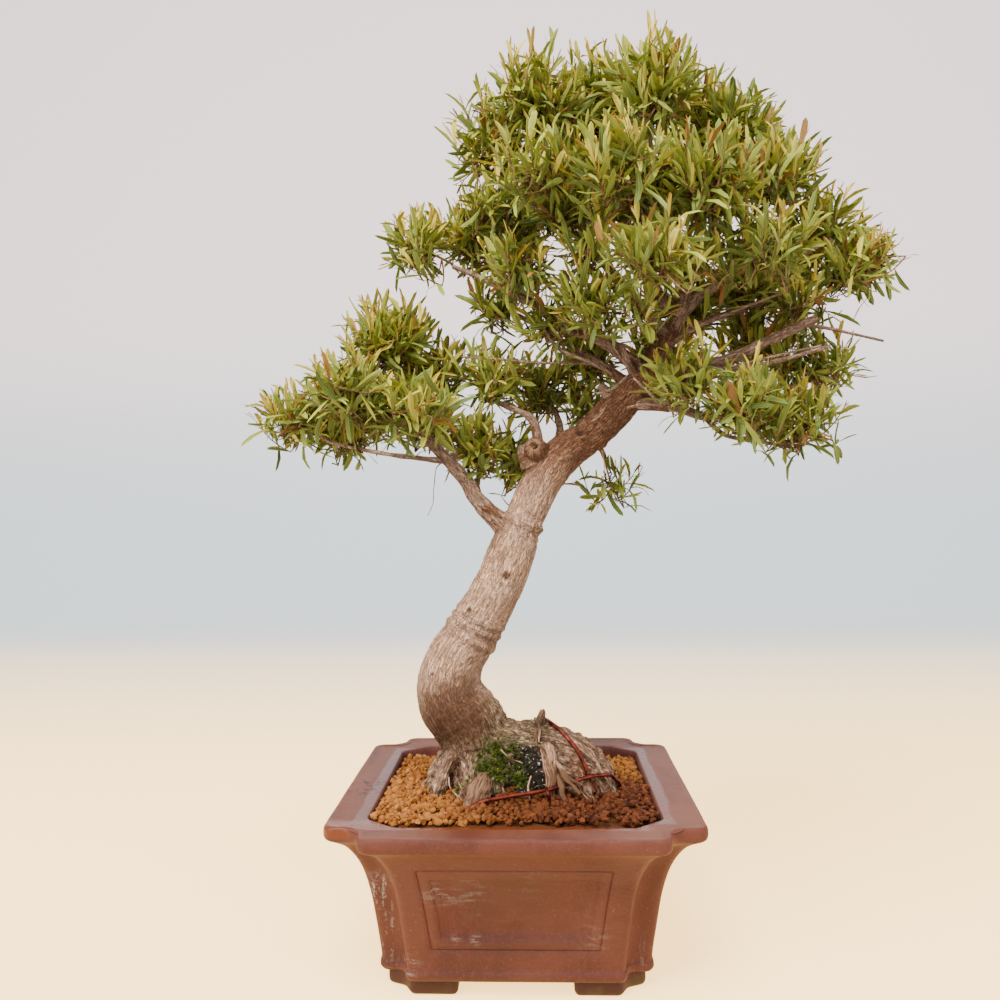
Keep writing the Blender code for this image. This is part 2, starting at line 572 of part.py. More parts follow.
def soil_height(x, y):
    """Level of the soil: a slope to the back and a mound round the trunk."""
    centre_x, centre_y = MOUND_CENTRE
    away = ((x - centre_x) ** 2 + (y - centre_y) ** 2) / MOUND_SPREAD ** 2
    return SOIL_LEVEL - SOIL_FALL * y + MOUND_HEIGHT * math.exp(-away)


def make_soil(root_cutters, wire_cutters):
    """Fired-clay grains as one body, with larger-than-life grains in relief on top."""
    levels = [(height, half - GAP) for height, half in reversed(WALL_INNER[3:])]
    levels[0] = (FLOOR_TOP + GAP, levels[0][1])
    levels[-1] = (POT_HEIGHT + SOIL_SPARE, levels[-1][1])
    sections = [wall_section(*level) for level in levels]
    soil = add_object("soil", loft(sections), "akadama")
    half = RIM_HALF
    cells = round(2 * half / GRAIN_PITCH)
    bm = bmesh.new()
    bmesh.ops.create_grid(bm, x_segments=cells, y_segments=cells, size=half)
    for vertex in bm.verts:
        column = round((vertex.co.x + half) / GRAIN_PITCH)
        row = round((vertex.co.y + half) / GRAIN_PITCH)
        lift = GRAIN_HEIGHT / 2 if (column + row) % 2 else -GRAIN_HEIGHT / 2
        draw = noise.noise_vector(vertex.co * 311.0)
        vertex.co.z = soil_height(vertex.co.x, vertex.co.y) + lift + draw.z * GRAIN_HEIGHT * 0.5
        vertex.co.x += draw.x * GRAIN_PITCH * 0.3
        vertex.co.y += draw.y * GRAIN_PITCH * 0.3
    bmesh.ops.triangulate(bm, faces=bm.faces)
    raised = bmesh.ops.extrude_face_region(bm, geom=bm.faces[:])
    for item in raised["geom"]:
        if isinstance(item, bmesh.types.BMVert):
            item.co.z = POT_HEIGHT + 2 * SOIL_SPARE
    top = [face for face in bm.faces
           if all(vertex.co.z > POT_HEIGHT + SOIL_SPARE for vertex in face.verts)]
    bmesh.ops.dissolve_faces(bm, faces=top)
    relief = add_object("relief", bm)
    root_space = combine(root_cutters[0], root_cutters[1:], "UNION")
    for cutters in ([relief], [root_space], wire_cutters):
        combine(soil, cutters, "DIFFERENCE", "MANIFOLD")
    pocket_half = SCREEN_HALF + GAP
    square = [(-pocket_half, -pocket_half), (pocket_half, -pocket_half),
              (pocket_half, pocket_half), (-pocket_half, pocket_half)]
    pocket_top = FLOOR_TOP + SCREEN_THICK + 2 * GAP
    pocket = add_object("pocket", prism(square, FLOOR_TOP - SCREEN_THICK, pocket_top))
    return combine(soil, [pocket], "DIFFERENCE", "MANIFOLD")


def trunk_swell(index, place, radius):
    """Fluting, wrinkles and ring scars of the trunk's bark."""
    lump = noise.noise(place * 28.0) * 0.10 * radius
    for scar, height in SCARS:
        lump += height * (index == scar)
    return lump


def root_swell(index, place, radius):
    """Knuckles and hollows of the root base."""
    return noise.noise(place * 45.0) * 0.20 * radius


def wood_pieces(grow=0.0, below_only=False):
    """Every stretch of wood as its own closed tube, larger all round by grow."""
    def stretch(points, steps, sides, swell=None):
        widened = [(x, y, z, radius + grow) for x, y, z, radius in points]
        return tube(lengthened(smooth_route(widened, steps), grow), sides, swell)

    pieces = [stretch(TRUNK[:BURIED_POINTS] if below_only else TRUNK, 1, TRUNK_SIDES, trunk_swell)]
    for name, points in ROOTS.items():
        wide = name == "right_mass"
        sides = TRUNK_SIDES if wide else ROOT_SIDES
        pieces.append(stretch(points, 2 if wide else 1, sides, root_swell))
    if not below_only:
        for points in LIMBS.values():
            thick = points[0][3] > THICK_LIMB
            pieces.append(stretch(points, 2 if thick else 1, LIMB_SIDES if thick else THIN_SIDES))
    return [add_object("wood", bm) for bm in pieces]


def make_trunk():
    """Root base, trunk, limbs and stubs, grown as one piece."""
    pieces = wood_pieces()
    trunk = pieces[0]
    trunk.name = "trunk"
    trunk.data.materials.append(finish("bark"))
    return combine(trunk, pieces[1:], "UNION")


def surface(made):
    """A search tree over an object's faces."""
    bm = bmesh.new()
    bm.from_mesh(made.data)
    tree = BVHTree.FromBMesh(bm)
    bm.free()
    return tree


def lay_wire(points, wood):
    """Smooth a wire's points and push them clear of the wood."""
    route = smooth_route([(*point, WIRE_RADIUS) for point in points], WIRE_DETAIL)
    places = [route[0][0]]
    for place, _ in route[1:]:
        if (place - places[-1]).length > WIRE_STEP:
            places.append(place)
    wanted = WIRE_RADIUS + GAP
    for _ in range(WIRE_ROUNDS):
        for index, place in enumerate(places):
            found, normal, _, distance = wood.find_nearest(place)
            inside = (place - found).dot(normal) < 0
            if inside or distance < wanted:
                away = normal if inside else (place - found).normalized()
                places[index] = found + away * (wanted + GAP / 2)
        for index in range(1, len(places) - 1):
            middle = (places[index - 1] + places[index + 1]) / 2
            places[index] = places[index].lerp(middle, 0.25)
    return places


def clear_wire(points, wood):
    """A wire whose tube doesn't cross the wood."""
    lift = 0.0
    places = lay_wire(points, wood)
    while True:
        trial = []
        for place in places:
            found, normal, _, _ = wood.find_nearest(place)
            trial.append((place + (place - found).normalized() * lift, WIRE_RADIUS))
        bm = tube([(place, WIRE_RADIUS + GAP * 0.8) for place, _ in trial], WIRE_SIDES)
        crossing = wood.overlap(BVHTree.FromBMesh(bm))
        bm.free()
        if not crossing or lift > WIRE_LIFT_LIMIT:
            return trial
        lift += WIRE_LIFT_STEP


def blade_corners(base, along, across, length, grow=0.0):
    """Widest section of a narrow arched blade, flat below and ridged above, and its tip."""
    up = across.cross(along).normalized()
    half = LEAF_WIDTH / 2 + grow
    middle = base + along * length * LEAF_WIDEST + up * LEAF_ARCH
    section = [middle - across * half, middle + across * half, middle + up * (LEAF_THICK + grow)]
    section[0] -= up * grow
    section[1] -= up * grow
    return section, base + along * (length + grow) - up * LEAF_ARCH


def trial_blade(base, section, tip):
    """A closed copy of a blade, for finding out what it would cross."""
    corners = [base] + section + [tip]
    faces = []
    for side in range(3):
        following = (side + 1) % 3
        faces += [(0, 1 + following, 1 + side), (1 + side, 1 + following, 4)]
    return BVHTree.FromPolygons(corners, faces)


def place_blade(base, along, outward, blockers, draw, lean_range):
    """A blade from base that crosses nothing: its widest section and tip, or None."""
    across = outward.cross(along).normalized()
    length = draw.uniform(*LEAF_LENGTH)
    for attempt in range(BLADE_TRIES):
        lean = draw.uniform(*lean_range)
        slide = draw.uniform(-LEAF_SLIDE, LEAF_SLIDE) * (1 + attempt * 0.25)
        leaf_along = along + outward * lean + across * slide
        leaf_along = (leaf_along + Vector((0, 0, LEAF_LIFT))).normalized()
        leaf_across = (across - leaf_along * across.dot(leaf_along)).normalized()
        wide, far_tip = blade_corners(base, leaf_along, leaf_across, length, TEST_MARGIN)
        trial = trial_blade(base + leaf_along * ROOT_CLEAR, wide, far_tip)
        if any(trial.overlap(blocker) for blocker in blockers):
            continue
        section, tip = blade_corners(base, leaf_along, leaf_across, length)
        return section, tip, trial
    return None


def leafy_shoot(route, obstacles, grown, draw):
    """A three-sided twig. Each stretch draws two of its faces out into blades, and the end
    draws out into the last one."""
    bm = bmesh.new()
    side = Vector((draw.uniform(-1, 1), draw.uniform(-1, 1), 0.3))
    rings = []
    alongs = []
    for index, (place, radius) in enumerate(route):
        ahead = route[min(index + 1, len(route) - 1)][0]
        behind = route[max(index - 1, 0)][0]
        along = (ahead - behind).normalized()
        side = (side - along * side.dot(along)).normalized()
        outwards = [Matrix.Rotation(2 * math.pi * corner / 3, 3, along) @ side for corner in range(3)]
        rings.append([bm.verts.new(place + outward * radius) for outward in outwards])
        alongs.append(along)
    bm.faces.new(reversed(rings[0]))
    new_trials = []
    bare = draw.randrange(3)
    for index, (lower, upper) in enumerate(zip(rings, rings[1:])):
        for corner in range(3):
            root = [lower[corner], lower[(corner + 1) % 3], upper[(corner + 1) % 3], upper[corner]]
            blade = None
            if index > 0 and corner != (bare + index) % 3:
                base = sum((vertex.co for vertex in root), Vector()) / 4
                outward = base - (route[index][0] + route[index + 1][0]) / 2
                outward = (outward - alongs[index] * outward.dot(alongs[index])).normalized()
                blade = place_blade(base, alongs[index], outward, obstacles + grown + new_trials,
                                    draw, SIDE_LEAN)
            if blade is None:
                bm.faces.new(root)
            else:
                draw_out(bm, root, blade[0], blade[1])
                new_trials.append(blade[2])
    outward = alongs[-1].orthogonal().normalized()
    blade = place_blade(route[-1][0], alongs[-1], outward, obstacles + grown, draw, END_LEAN)
    if blade is None:
        bm.faces.new(rings[-1])
    else:
        draw_out(bm, rings[-1], blade[0], blade[1])
        new_trials.append(blade[2])
    grown += new_trials
    return bm


def draw_out(bm, root, section, tip):
    """Draw a twig's side face, or its three-cornered end, out into a blade."""
    left, right, ridge = (bm.verts.new(corner) for corner in section)
    point = bm.verts.new(tip)
    for start, end in ((left, right), (right, ridge), (ridge, left)):
        bm.faces.new((start, end, point))
    if len(root) == 4:
        bm.faces.new((root[0], root[1], left, right))
        bm.faces.new((root[1], root[2], ridge, left))
        bm.faces.new((root[2], root[3], ridge))
        bm.faces.new((root[3], root[0], right, ridge))
        return
    middle = [right, left, ridge]
    turn = min(range(3), key=lambda turn: sum(
        (root[corner].co - middle[(corner + turn) % 3].co).length for corner in range(3)))
    for corner in range(3):
        following = (corner + 1) % 3
        bm.faces.new((root[corner], root[following],
                      middle[(following + turn) % 3], middle[(corner + turn) % 3]))


def bend(start, through, end, steps, radius_start, radius_end):
    """A twig's route, curved from start past through to end."""
    route = []
    for step in range(steps + 1):
        t = step / steps
        place = start * (1 - t) ** 2 + through * 2 * t * (1 - t) + end * t ** 2
        route.append((place, radius_start + (radius_end - radius_start) * t))
    return route


def hits(bm, obstacles):
    """Whether a trial piece crosses any finished one."""
    tree = BVHTree.FromBMesh(bm)
    bm.free()
    return any(tree.overlap(obstacle) for obstacle in obstacles)


def limb_samples():
    """Places on the limbs where a leafy twig may start, with the limb's radius and direction."""
    samples = []
    for points in LIMBS.values():
        route = smooth_route(points, LIMB_STEPS)
        for index in range(LIMB_STEPS // 2 + 1, len(route)):
            place, radius = route[index]
            behind = route[index - 1][0]
            samples.append((place, radius, (place - behind).normalized(), index == len(route) - 1))
    return samples


def grow_stem(centre, samples, wood, obstacles):
    """The stem of a spray, from the nearest limb towards the pad's middle."""
    ordered = sorted(samples, key=lambda sample: (sample[0] - centre).length)
    for place, radius, along, is_end in ordered[:LIMBS_TRIED]:
        towards = centre - place
        outward = (towards - along * towards.dot(along)).normalized()
        if is_end and towards.normalized().dot(along) > 0.5:
            outward = along
            lift = GAP
        else:
            lift = radius + GAP * 1.5
        found = wood.find_nearest(place + outward * lift)[0]
        outward = (place + outward * lift - found).normalized()
        start = found + outward * GAP
        reach = max((centre - start).length, SHORTEST_STEM)
        end = start + (centre - start).normalized() * reach
        through = start + outward * reach * STEM_CURVE
        route = bend(start, through, end, STEM_STRETCHES, TWIG_RADIUS, SHOOT_RADIUS)
        route.insert(1, (start + outward * STEM_FOOT, TWIG_RADIUS))
        tested = [(spot, thick + TEST_MARGIN * 0.6) for spot, thick in route[1:]]
        if hits(tube(route, 3), [wood]) or hits(tube(tested, 4), obstacles + [wood]):
            continue
        return route
    return None


def pad_directions(count, draw):
    """Directions spread evenly over a ball, turned by a seeded draw."""
    turn = draw.uniform(0, 2 * math.pi)
    directions = []
    for index in range(count):
        z = 1 - 2 * (index + 0.5) / count
        flat = math.sqrt(1 - z * z)
        angle = turn + GOLDEN_ANGLE * index
        directions.append(Vector((math.cos(angle) * flat, math.sin(angle) * flat, z)))
    return directions


def make_spray(name, centre, reach, samples, wood, others, draw):
    """One leafy spray: a stem, its shoots and their leaves, fused into one body."""
    obstacles = [wood] + others
    centre = Vector(centre)
    inner = [max(side - TIP_INSET, TIP_INSET / 2) for side in reach]
    stem = grow_stem(centre, samples, wood, others)
    pieces = [add_object(name, tube(stem, 3), "leaf")]
    grown = []
    for direction in pad_directions(SHOOTS_PER_PAD, draw):
        for attempt in range(SHOOT_TRIES):
            wobble = Vector([draw.uniform(-SHOOT_WOBBLE, SHOOT_WOBBLE) for _ in range(3)])
            aim = (direction + wobble * (0.4 + attempt * 0.2)).normalized()
            tip = centre + Vector([aim[axis] * inner[axis] for axis in range(3)])
            root = stem[draw.choice((-1, -2))][0]
            tip = root + (tip - root).normalized() * max((tip - root).length, SHORTEST_SHOOT)
            through = root.lerp(tip, 0.5) + (stem[-1][0] - stem[1][0]).normalized() * SHOOT_CURVE
            route = bend(root, through, tip, STRETCHES, SHOOT_RADIUS, SHOOT_RADIUS * SHOOT_TAPER)
            last_along = (route[-1][0] - route[-2][0]).normalized()
            longest = [(spot, thick + TEST_MARGIN) for spot, thick in route]
            longest.append((route[-1][0] + last_along * LEAF_LENGTH[1], LEAF_WIDTH / 2))
            trial = BVHTree.FromBMesh(tube(longest, 4))
            if any(trial.overlap(other) for other in obstacles + grown):
                continue
            shoot = leafy_shoot(route, obstacles, grown, draw)
            grown.append(BVHTree.FromBMesh(tube(longest[1:-1], 4)))
            pieces.append(add_object("shoot", shoot))
            break
    return combine(pieces[0], pieces[1:], "UNION", "MANIFOLD")


def is_closed(made):
    """Whether an object is one body with two faces at every edge, and touches itself nowhere."""
    bm = bmesh.new()
    bm.from_mesh(made.data)
    closed = all(edge.is_manifold for edge in bm.edges)
    closed = closed and all(vertex.is_manifold for vertex in bm.verts)
    closed = closed and len(face_islands(bm)) == 1
    bm.free()
    return closed


def measured_box(objects):
    """Lowest and highest corners of all objects together."""
    corners = [vertex.co for made in objects for vertex in made.data.vertices]
    low = Vector([min(corner[axis] for corner in corners) for axis in range(3)])
    high = Vector([max(corner[axis] for corner in corners) for axis in range(3)])
    return low, high


def main():
    clear_scene()
    trunk = make_trunk()
    wood = surface(trunk)
    made = [trunk, make_pot(), make_screen()]
    wire_cutters = []
    wire_trees = []
    for name, points in WIRES.items():
        route = clear_wire(points, wood)
        wire = add_object(name, tube(route, WIRE_SIDES), "copper")
        made.append(wire)
        wire_trees.append(surface(wire))
        wider = [(place, radius + GAP * 1.3) for place, radius in route]
        wire_cutters.append(add_object("wire_hole", tube(lengthened(wider, GAP), WIRE_SIDES)))
    made.append(make_soil(wood_pieces(ROOT_GAP, below_only=True), wire_cutters))
    samples = limb_samples()
    finished = []
    for index, (name, (centre, reach)) in enumerate(PADS.items()):
        draw = random.Random(SEED + index)
        spray = make_spray("spray_" + name, centre, reach, samples, wood, finished, draw)
        while not is_closed(spray):
            bpy.data.objects.remove(spray, do_unlink=True)
            spray = make_spray("spray_" + name, centre, reach, samples, wood, finished, draw)
        finished.append(surface(spray))
        made.append(spray)
    low, high = measured_box(made)
    middle = (low + high) / 2
    shift = Vector((-round(middle.x, 3), -round(middle.y, 3), 0.0))
    stand = bpy.data.objects.new("tree", None)
    bpy.context.collection.objects.link(stand)
    for piece in made:
        piece.data.shade_smooth()
        piece.data.set_sharp_from_angle(angle=math.radians(40))
        piece.parent = stand
    stand.location = shift
    bpy.context.view_layer.update()


main()
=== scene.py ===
# %% [markdown]
# A willow leaf fig, trained for years as a bonsai and planted in a square clay pot with stepped-in
# corners. The imported model gives the true sizes, and this lesson gives the tree its looks: a
# fired-clay pot, loose soil grains, wrinkled bark, moss, copper wire and some thousands of leaves.
# The first step loads the imported model as a fixed frame, and keeps its box to print at the end.

# %% Load the imported model
import math
import random
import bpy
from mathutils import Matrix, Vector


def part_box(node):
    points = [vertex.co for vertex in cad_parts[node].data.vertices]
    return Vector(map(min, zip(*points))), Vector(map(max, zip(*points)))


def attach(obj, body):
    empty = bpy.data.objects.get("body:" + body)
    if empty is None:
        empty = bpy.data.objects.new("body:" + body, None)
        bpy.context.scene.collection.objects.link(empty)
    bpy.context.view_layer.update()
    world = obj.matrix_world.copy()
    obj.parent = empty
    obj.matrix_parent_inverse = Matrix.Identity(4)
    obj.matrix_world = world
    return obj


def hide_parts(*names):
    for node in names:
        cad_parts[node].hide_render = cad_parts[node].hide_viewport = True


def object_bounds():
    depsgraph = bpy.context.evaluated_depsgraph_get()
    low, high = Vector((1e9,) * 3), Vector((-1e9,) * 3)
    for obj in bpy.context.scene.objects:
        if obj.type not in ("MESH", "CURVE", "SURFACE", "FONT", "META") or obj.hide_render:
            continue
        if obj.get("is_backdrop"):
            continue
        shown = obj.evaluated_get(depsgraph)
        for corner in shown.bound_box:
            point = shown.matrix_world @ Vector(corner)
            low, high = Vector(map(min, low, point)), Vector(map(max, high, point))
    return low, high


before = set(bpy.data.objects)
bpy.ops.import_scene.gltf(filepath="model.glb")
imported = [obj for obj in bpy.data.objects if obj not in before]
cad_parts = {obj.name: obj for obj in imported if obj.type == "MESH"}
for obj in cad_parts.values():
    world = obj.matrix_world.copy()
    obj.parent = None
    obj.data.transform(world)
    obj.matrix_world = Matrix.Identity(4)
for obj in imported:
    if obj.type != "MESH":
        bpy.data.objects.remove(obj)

from types import SimpleNamespace

import bmesh
import bpy
import numpy as np
from mathutils import Matrix, Vector, noise
from mathutils.bvhtree import BVHTree

CAD_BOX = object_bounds()
POT_LOW, POT_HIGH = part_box("pot")
POT_MIDDLE = Vector(((POT_LOW.x + POT_HIGH.x) / 2, (POT_LOW.y + POT_HIGH.y) / 2, 0))
POT_HEIGHT = POT_HIGH.z
RIM_HALF = (POT_HIGH.x - POT_LOW.x) / 2
print("pot", round(2 * RIM_HALF, 4), "wide and", round(POT_HEIGHT, 4), "high")

# %% [markdown]
# Every place below is measured from the middle of the pot, because that is how a grower would
# measure the tree. Lengths are in metres, but the long tables of places are written in
# millimetres and turned into metres once. When a piece is finished its mesh is moved to the
# pot's place in the frame, so that its object can stay at the origin.

# %% Finish a piece
SHARP_ANGLE = math.radians(42)
PIECES = []


def metres(table):
    """The same table of places and sizes, with every number in metres."""
    if isinstance(table, dict):
        return {name: metres(row) for name, row in table.items()}
    if isinstance(table, (list, tuple)):
        return type(table)(metres(row) for row in table)
    return round(table / 1000, 7)


def finish_piece(mesh, name, slot, *materials, sharp=SHARP_ANGLE):
    """Put a mesh in its place in the frame, as an object that rides on the part's one body."""
    mesh.name = name
    mesh.transform(Matrix.Translation(POT_MIDDLE))
    mesh.materials.clear()
    for material in materials:
        mesh.materials.append(material)
    mesh.shade_smooth()
    mesh.set_sharp_from_angle(angle=sharp)
    piece = bpy.data.objects.new(name, mesh)
    bpy.context.scene.collection.objects.link(piece)
    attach(piece, "root")
    PIECES.append(piece)
    print(name, len(mesh.vertices), "points")
    return piece


# %% Handle meshes
def mesh_of(bm):
    """Close a bmesh and keep its mesh."""
    mesh = bpy.data.meshes.new("shape")
    bm.to_mesh(mesh)
    bm.free()
    return mesh


def with_modifiers(mesh, *modifiers):
    """A copy of a mesh as its modifiers leave it."""
    holder = bpy.data.objects.new("holder", mesh)
    bpy.context.scene.collection.objects.link(holder)
    for kind, settings in modifiers:
        modifier = holder.modifiers.new(kind, kind)
        for name, value in settings.items():
            setattr(modifier, name, value)
    bpy.context.view_layer.update()
    evaluated = holder.evaluated_get(bpy.context.evaluated_depsgraph_get())
    shaped = bpy.data.meshes.new_from_object(evaluated)
    bpy.data.objects.remove(holder, do_unlink=True)
    return shaped


def merged_copy(node):
    """A copy of a CAD node as a joined-up bmesh, measured from the middle of the pot."""
    bm = bmesh.new()
    bm.from_mesh(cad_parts[node].data)
    bmesh.ops.remove_doubles(bm, verts=bm.verts, dist=0.00001)
    bmesh.ops.translate(bm, verts=bm.verts, vec=-POT_MIDDLE)
    return bm


def new_points(geometry):
    """The points among the parts that a mesh operator made."""
    return [item for item in geometry if isinstance(item, bmesh.types.BMVert)]


def new_edges(geometry):
    """The edges among the parts that a mesh operator made."""
    return [item for item in geometry if isinstance(item, bmesh.types.BMEdge)]


# %% [markdown]
# A finish is a small network of shader nodes. Written as plain sums it is far easier to read, so
# one class wraps an output socket and lets it take part in Python arithmetic, a second one adds
# any other kind of node, and a third one paints with them: it starts with a base of two colours
# and lays coats over it through masks. Colours are a painter's three values from 0 to 255.

# %% Sums of shader sockets
class Link:
    """An output socket that can be added, multiplied and so on, like a number."""

    def __init__(self, paint, socket):
        self.paint = paint
        self.socket = socket

    def join(self, operation, first, second):
        return self.paint.node("ShaderNodeMath", {"operation": operation}, {0: first, 1: second})

    def __add__(self, other):
        return self.join("ADD", self, other)

    def __sub__(self, other):
        return self.join("SUBTRACT", self, other)

    def __rsub__(self, other):
        return self.join("SUBTRACT", other, self)

    def __mul__(self, other):
        return self.join("MULTIPLY", self, other)

    def larger(self, other):
        return self.join("MAXIMUM", self, other)

    def size(self):
        return self.join("ABSOLUTE", self, 0.0)

    __radd__ = __add__
    __rmul__ = __mul__


def colour(shade):
    """A painter's three values as the linear ones of a shader, or a ready colour as it is."""
    if isinstance(shade, Link) or len(shade) == 4:
        return shade
    linear = [((value / 255 + 0.055) / 1.055) ** 2.4 for value in shade]
    return (*linear, 1.0)


# %% Nodes of one material
class Nodes:
    """One material, and the plain nodes that its finish is built from."""

    def __init__(self, name, **constants):
        self.material = bpy.data.materials.new(name)
        self.material.use_nodes = True
        self.tree = self.material.node_tree
        self.shader = self.tree.nodes["Principled BSDF"]
        for socket, value in constants.items():
            self.shader.inputs[socket.replace("_", " ")].default_value = value
        self.here = self.place()

    def feed(self, socket, value):
        """Link a socket to a Link, or set it to a plain value."""
        if isinstance(value, Link):
            self.tree.links.new(value.socket, socket)
        else:
            socket.default_value = value

    def node(self, kind, settings=None, values=None, output=0):
        """Add a node, set it up, fill its sockets and give one of its outputs."""
        made = self.tree.nodes.new(kind)
        for name, value in (settings or {}).items():
            setattr(made, name, value)
        for key, value in (values or {}).items():
            self.feed(made.inputs[key], value)
        return Link(self, made.outputs[output])

    def place(self, stretch=(1, 1, 1)):
        """Where a point is, from the middle of the pot, with each axis stretched."""
        here = self.node("ShaderNodeTexCoord", output=3)
        offset = [-middle * scale for middle, scale in zip(POT_MIDDLE, stretch)]
        return self.node("ShaderNodeMapping", None, {"Vector": here, "Location": offset,
                                                     "Scale": stretch})

    def attribute(self, name, stretch=(1, 1, 1)):
        """A vector that is stored on the piece's own points, with each axis stretched."""
        stored = self.node("ShaderNodeAttribute", {"attribute_name": name}, output=1)
        return self.node("ShaderNodeMapping", None, {"Vector": stored, "Scale": stretch})

    def axes(self, vector):
        """The three numbers of a vector."""
        split = self.node("ShaderNodeSeparateXYZ", None, {0: vector}).socket.node
        return [Link(self, output) for output in split.outputs]


# %% Patterns and coats of one finish
class Paint(Nodes):
    """Noise, masks, coats of colour and relief for one material."""

    def cloud(self, vector, scale, detail=3.0, roughness=0.55):
        """Soft noise from 0 to 1."""
        values = {"Vector": vector, "Scale": scale, "Detail": detail, "Roughness": roughness}
        return self.node("ShaderNodeTexNoise", None, values)

    def fibre(self, stretch, scale, detail, roughness):
        """Soft noise that is drawn out along the wood."""
        return self.cloud(self.attribute("grain", (1, 1, stretch)), scale, detail, roughness)

    def cells(self, vector, scale, feature="F1", output=0):
        """Distances in a field of scattered points, or a colour for each point's own cell."""
        return self.node("ShaderNodeTexVoronoi", {"feature": feature},
                         {"Vector": vector, "Scale": scale}, output)

    def fade(self, value, start, end):
        """A smooth step: 0 before start and 1 after end."""
        return self.node("ShaderNodeMapRange", {"interpolation_type": "SMOOTHSTEP"},
                         {"Value": value, "From Min": start, "From Max": end})

    def near(self, middle, radius, softness=0.5):
        """1 round a place, fading to 0 at radius."""
        away = self.node("ShaderNodeVectorMath", {"operation": "DISTANCE"},
                         {0: self.here, 1: middle}, output=1)
        return self.fade(away, radius, radius * (1 - softness))

    def mix(self, factor, first, second):
        """One colour over another."""
        return self.node("ShaderNodeMix", {"data_type": "RGBA"},
                         {0: factor, 6: colour(first), 7: colour(second)}, output=2)

    def base(self, factor, first, second):
        """Start the paint's own colour with one colour over another."""
        self.colour = self.mix(factor, first, second)

    def coat(self, mask, over):
        """Lay one more colour over the paint's own where the mask is 1."""
        self.colour = self.mix(mask, self.colour, over)

    def bump(self, height, depth, normal=None):
        """Relief of a height from 0 to 1, depth metres deep."""
        values = {"Height": height, "Distance": depth, "Strength": 1.0}
        if normal:
            values["Normal"] = normal
        return self.node("ShaderNodeBump", None, values)

    def wear(self, **links):
        """Feed the paint's colour and the given sockets, and give the finished material."""
        self.feed(self.shader.inputs["Base Color"], self.colour)
        for socket, value in links.items():
            self.feed(self.shader.inputs[socket.replace("_", " ")], value)
        return self.material


# %% [markdown]
# The camera stands where the photographer stood: level with the middle of the tree, 0.83 m in
# front of it. The floor is one pale sheet that rises softly behind, as in a studio, and three
# large lamps give soft light from above and from both sides. The sheet also glows by itself,
# warm and strong near the tree and greyer up the wall: painted light on the floor.

# %% Set up the camera
CAMERA_PLACE = Vector((0.0181, -0.8303, 0.3904))
CAMERA_PITCH = math.radians(-0.17)
CAMERA_YAW = math.radians(2.12)
CAMERA_ROLL = math.radians(-0.60)
SENSOR = 36.0
FOCAL_PIXELS = 918.0
IMAGE_PIXELS = 1000.0

camera_data = bpy.data.cameras.new("camera")
camera_data.sensor_width = SENSOR
camera_data.lens = SENSOR * FOCAL_PIXELS / IMAGE_PIXELS
camera_data.clip_start = 0.01
camera = bpy.data.objects.new("camera", camera_data)
bpy.context.scene.collection.objects.link(camera)
camera.matrix_world = (Matrix.Translation(CAMERA_PLACE + POT_MIDDLE)
                       @ Matrix.Rotation(CAMERA_YAW, 4, "Z")
                       @ Matrix.Rotation(math.pi / 2 - CAMERA_PITCH, 4, "X")
                       @ Matrix.Rotation(CAMERA_ROLL, 4, "Z"))
bpy.context.scene.camera = camera
print("lens", round(camera_data.lens, 2), "mm")

# %% Light the studio
LAMPS = {
    "lamp_above": ((-0.3, -1.0, 2.0), 1.2, 62.0),
    "lamp_left": ((-1.7, -1.6, 1.3), 1.3, 60.0),
    "lamp_right": ((2.0, -1.0, 1.0), 1.6, 28.0),
}
AIM_HEIGHT = 0.40
WORLD_GREY = (226, 226, 226)
WORLD_STRENGTH = 0.86

for lamp_name, (lamp_place, lamp_size, lamp_power) in LAMPS.items():
    light = bpy.data.lights.new(lamp_name, "AREA")
    light.shape = "DISK"
    light.size = lamp_size
    light.energy = lamp_power
    lamp = bpy.data.objects.new(lamp_name, light)
    bpy.context.scene.collection.objects.link(lamp)
    lamp.location = POT_MIDDLE + Vector(lamp_place)
    toward = Vector((0, 0, AIM_HEIGHT)) - Vector(lamp_place)
    lamp.rotation_euler = toward.to_track_quat("-Z", "Y").to_euler()

world = bpy.data.worlds.new("studio")
world.use_nodes = True
background = world.node_tree.nodes["Background"]
background.inputs["Color"].default_value = colour(WORLD_GREY)
background.inputs["Strength"].default_value = WORLD_STRENGTH
bpy.context.scene.world = world
print(len(LAMPS), "lamps")

# %% Roll out the floor
FLOOR_HALF = 2.2
WALL_DISTANCE = 1.9
SWEEP_RADIUS = 0.8
WALL_RISE = 3.0
# The paper's colour and its own glow run from warm and bright near the tree to grey far off and up
# the wall: painted light on the floor, not light from the lamps.
PAPER_NEAR = (240, 212, 164)
PAPER_FAR = (206, 212, 212)
PAPER_HIGH = (214, 208, 206)
GLOW_NEAR = (3.10, 1.90, 0.60, 1)
GLOW_FAR = (0.60, 0.70, 0.76, 1)
GLOW_HIGH = (1.30, 1.04, 1.06, 1)


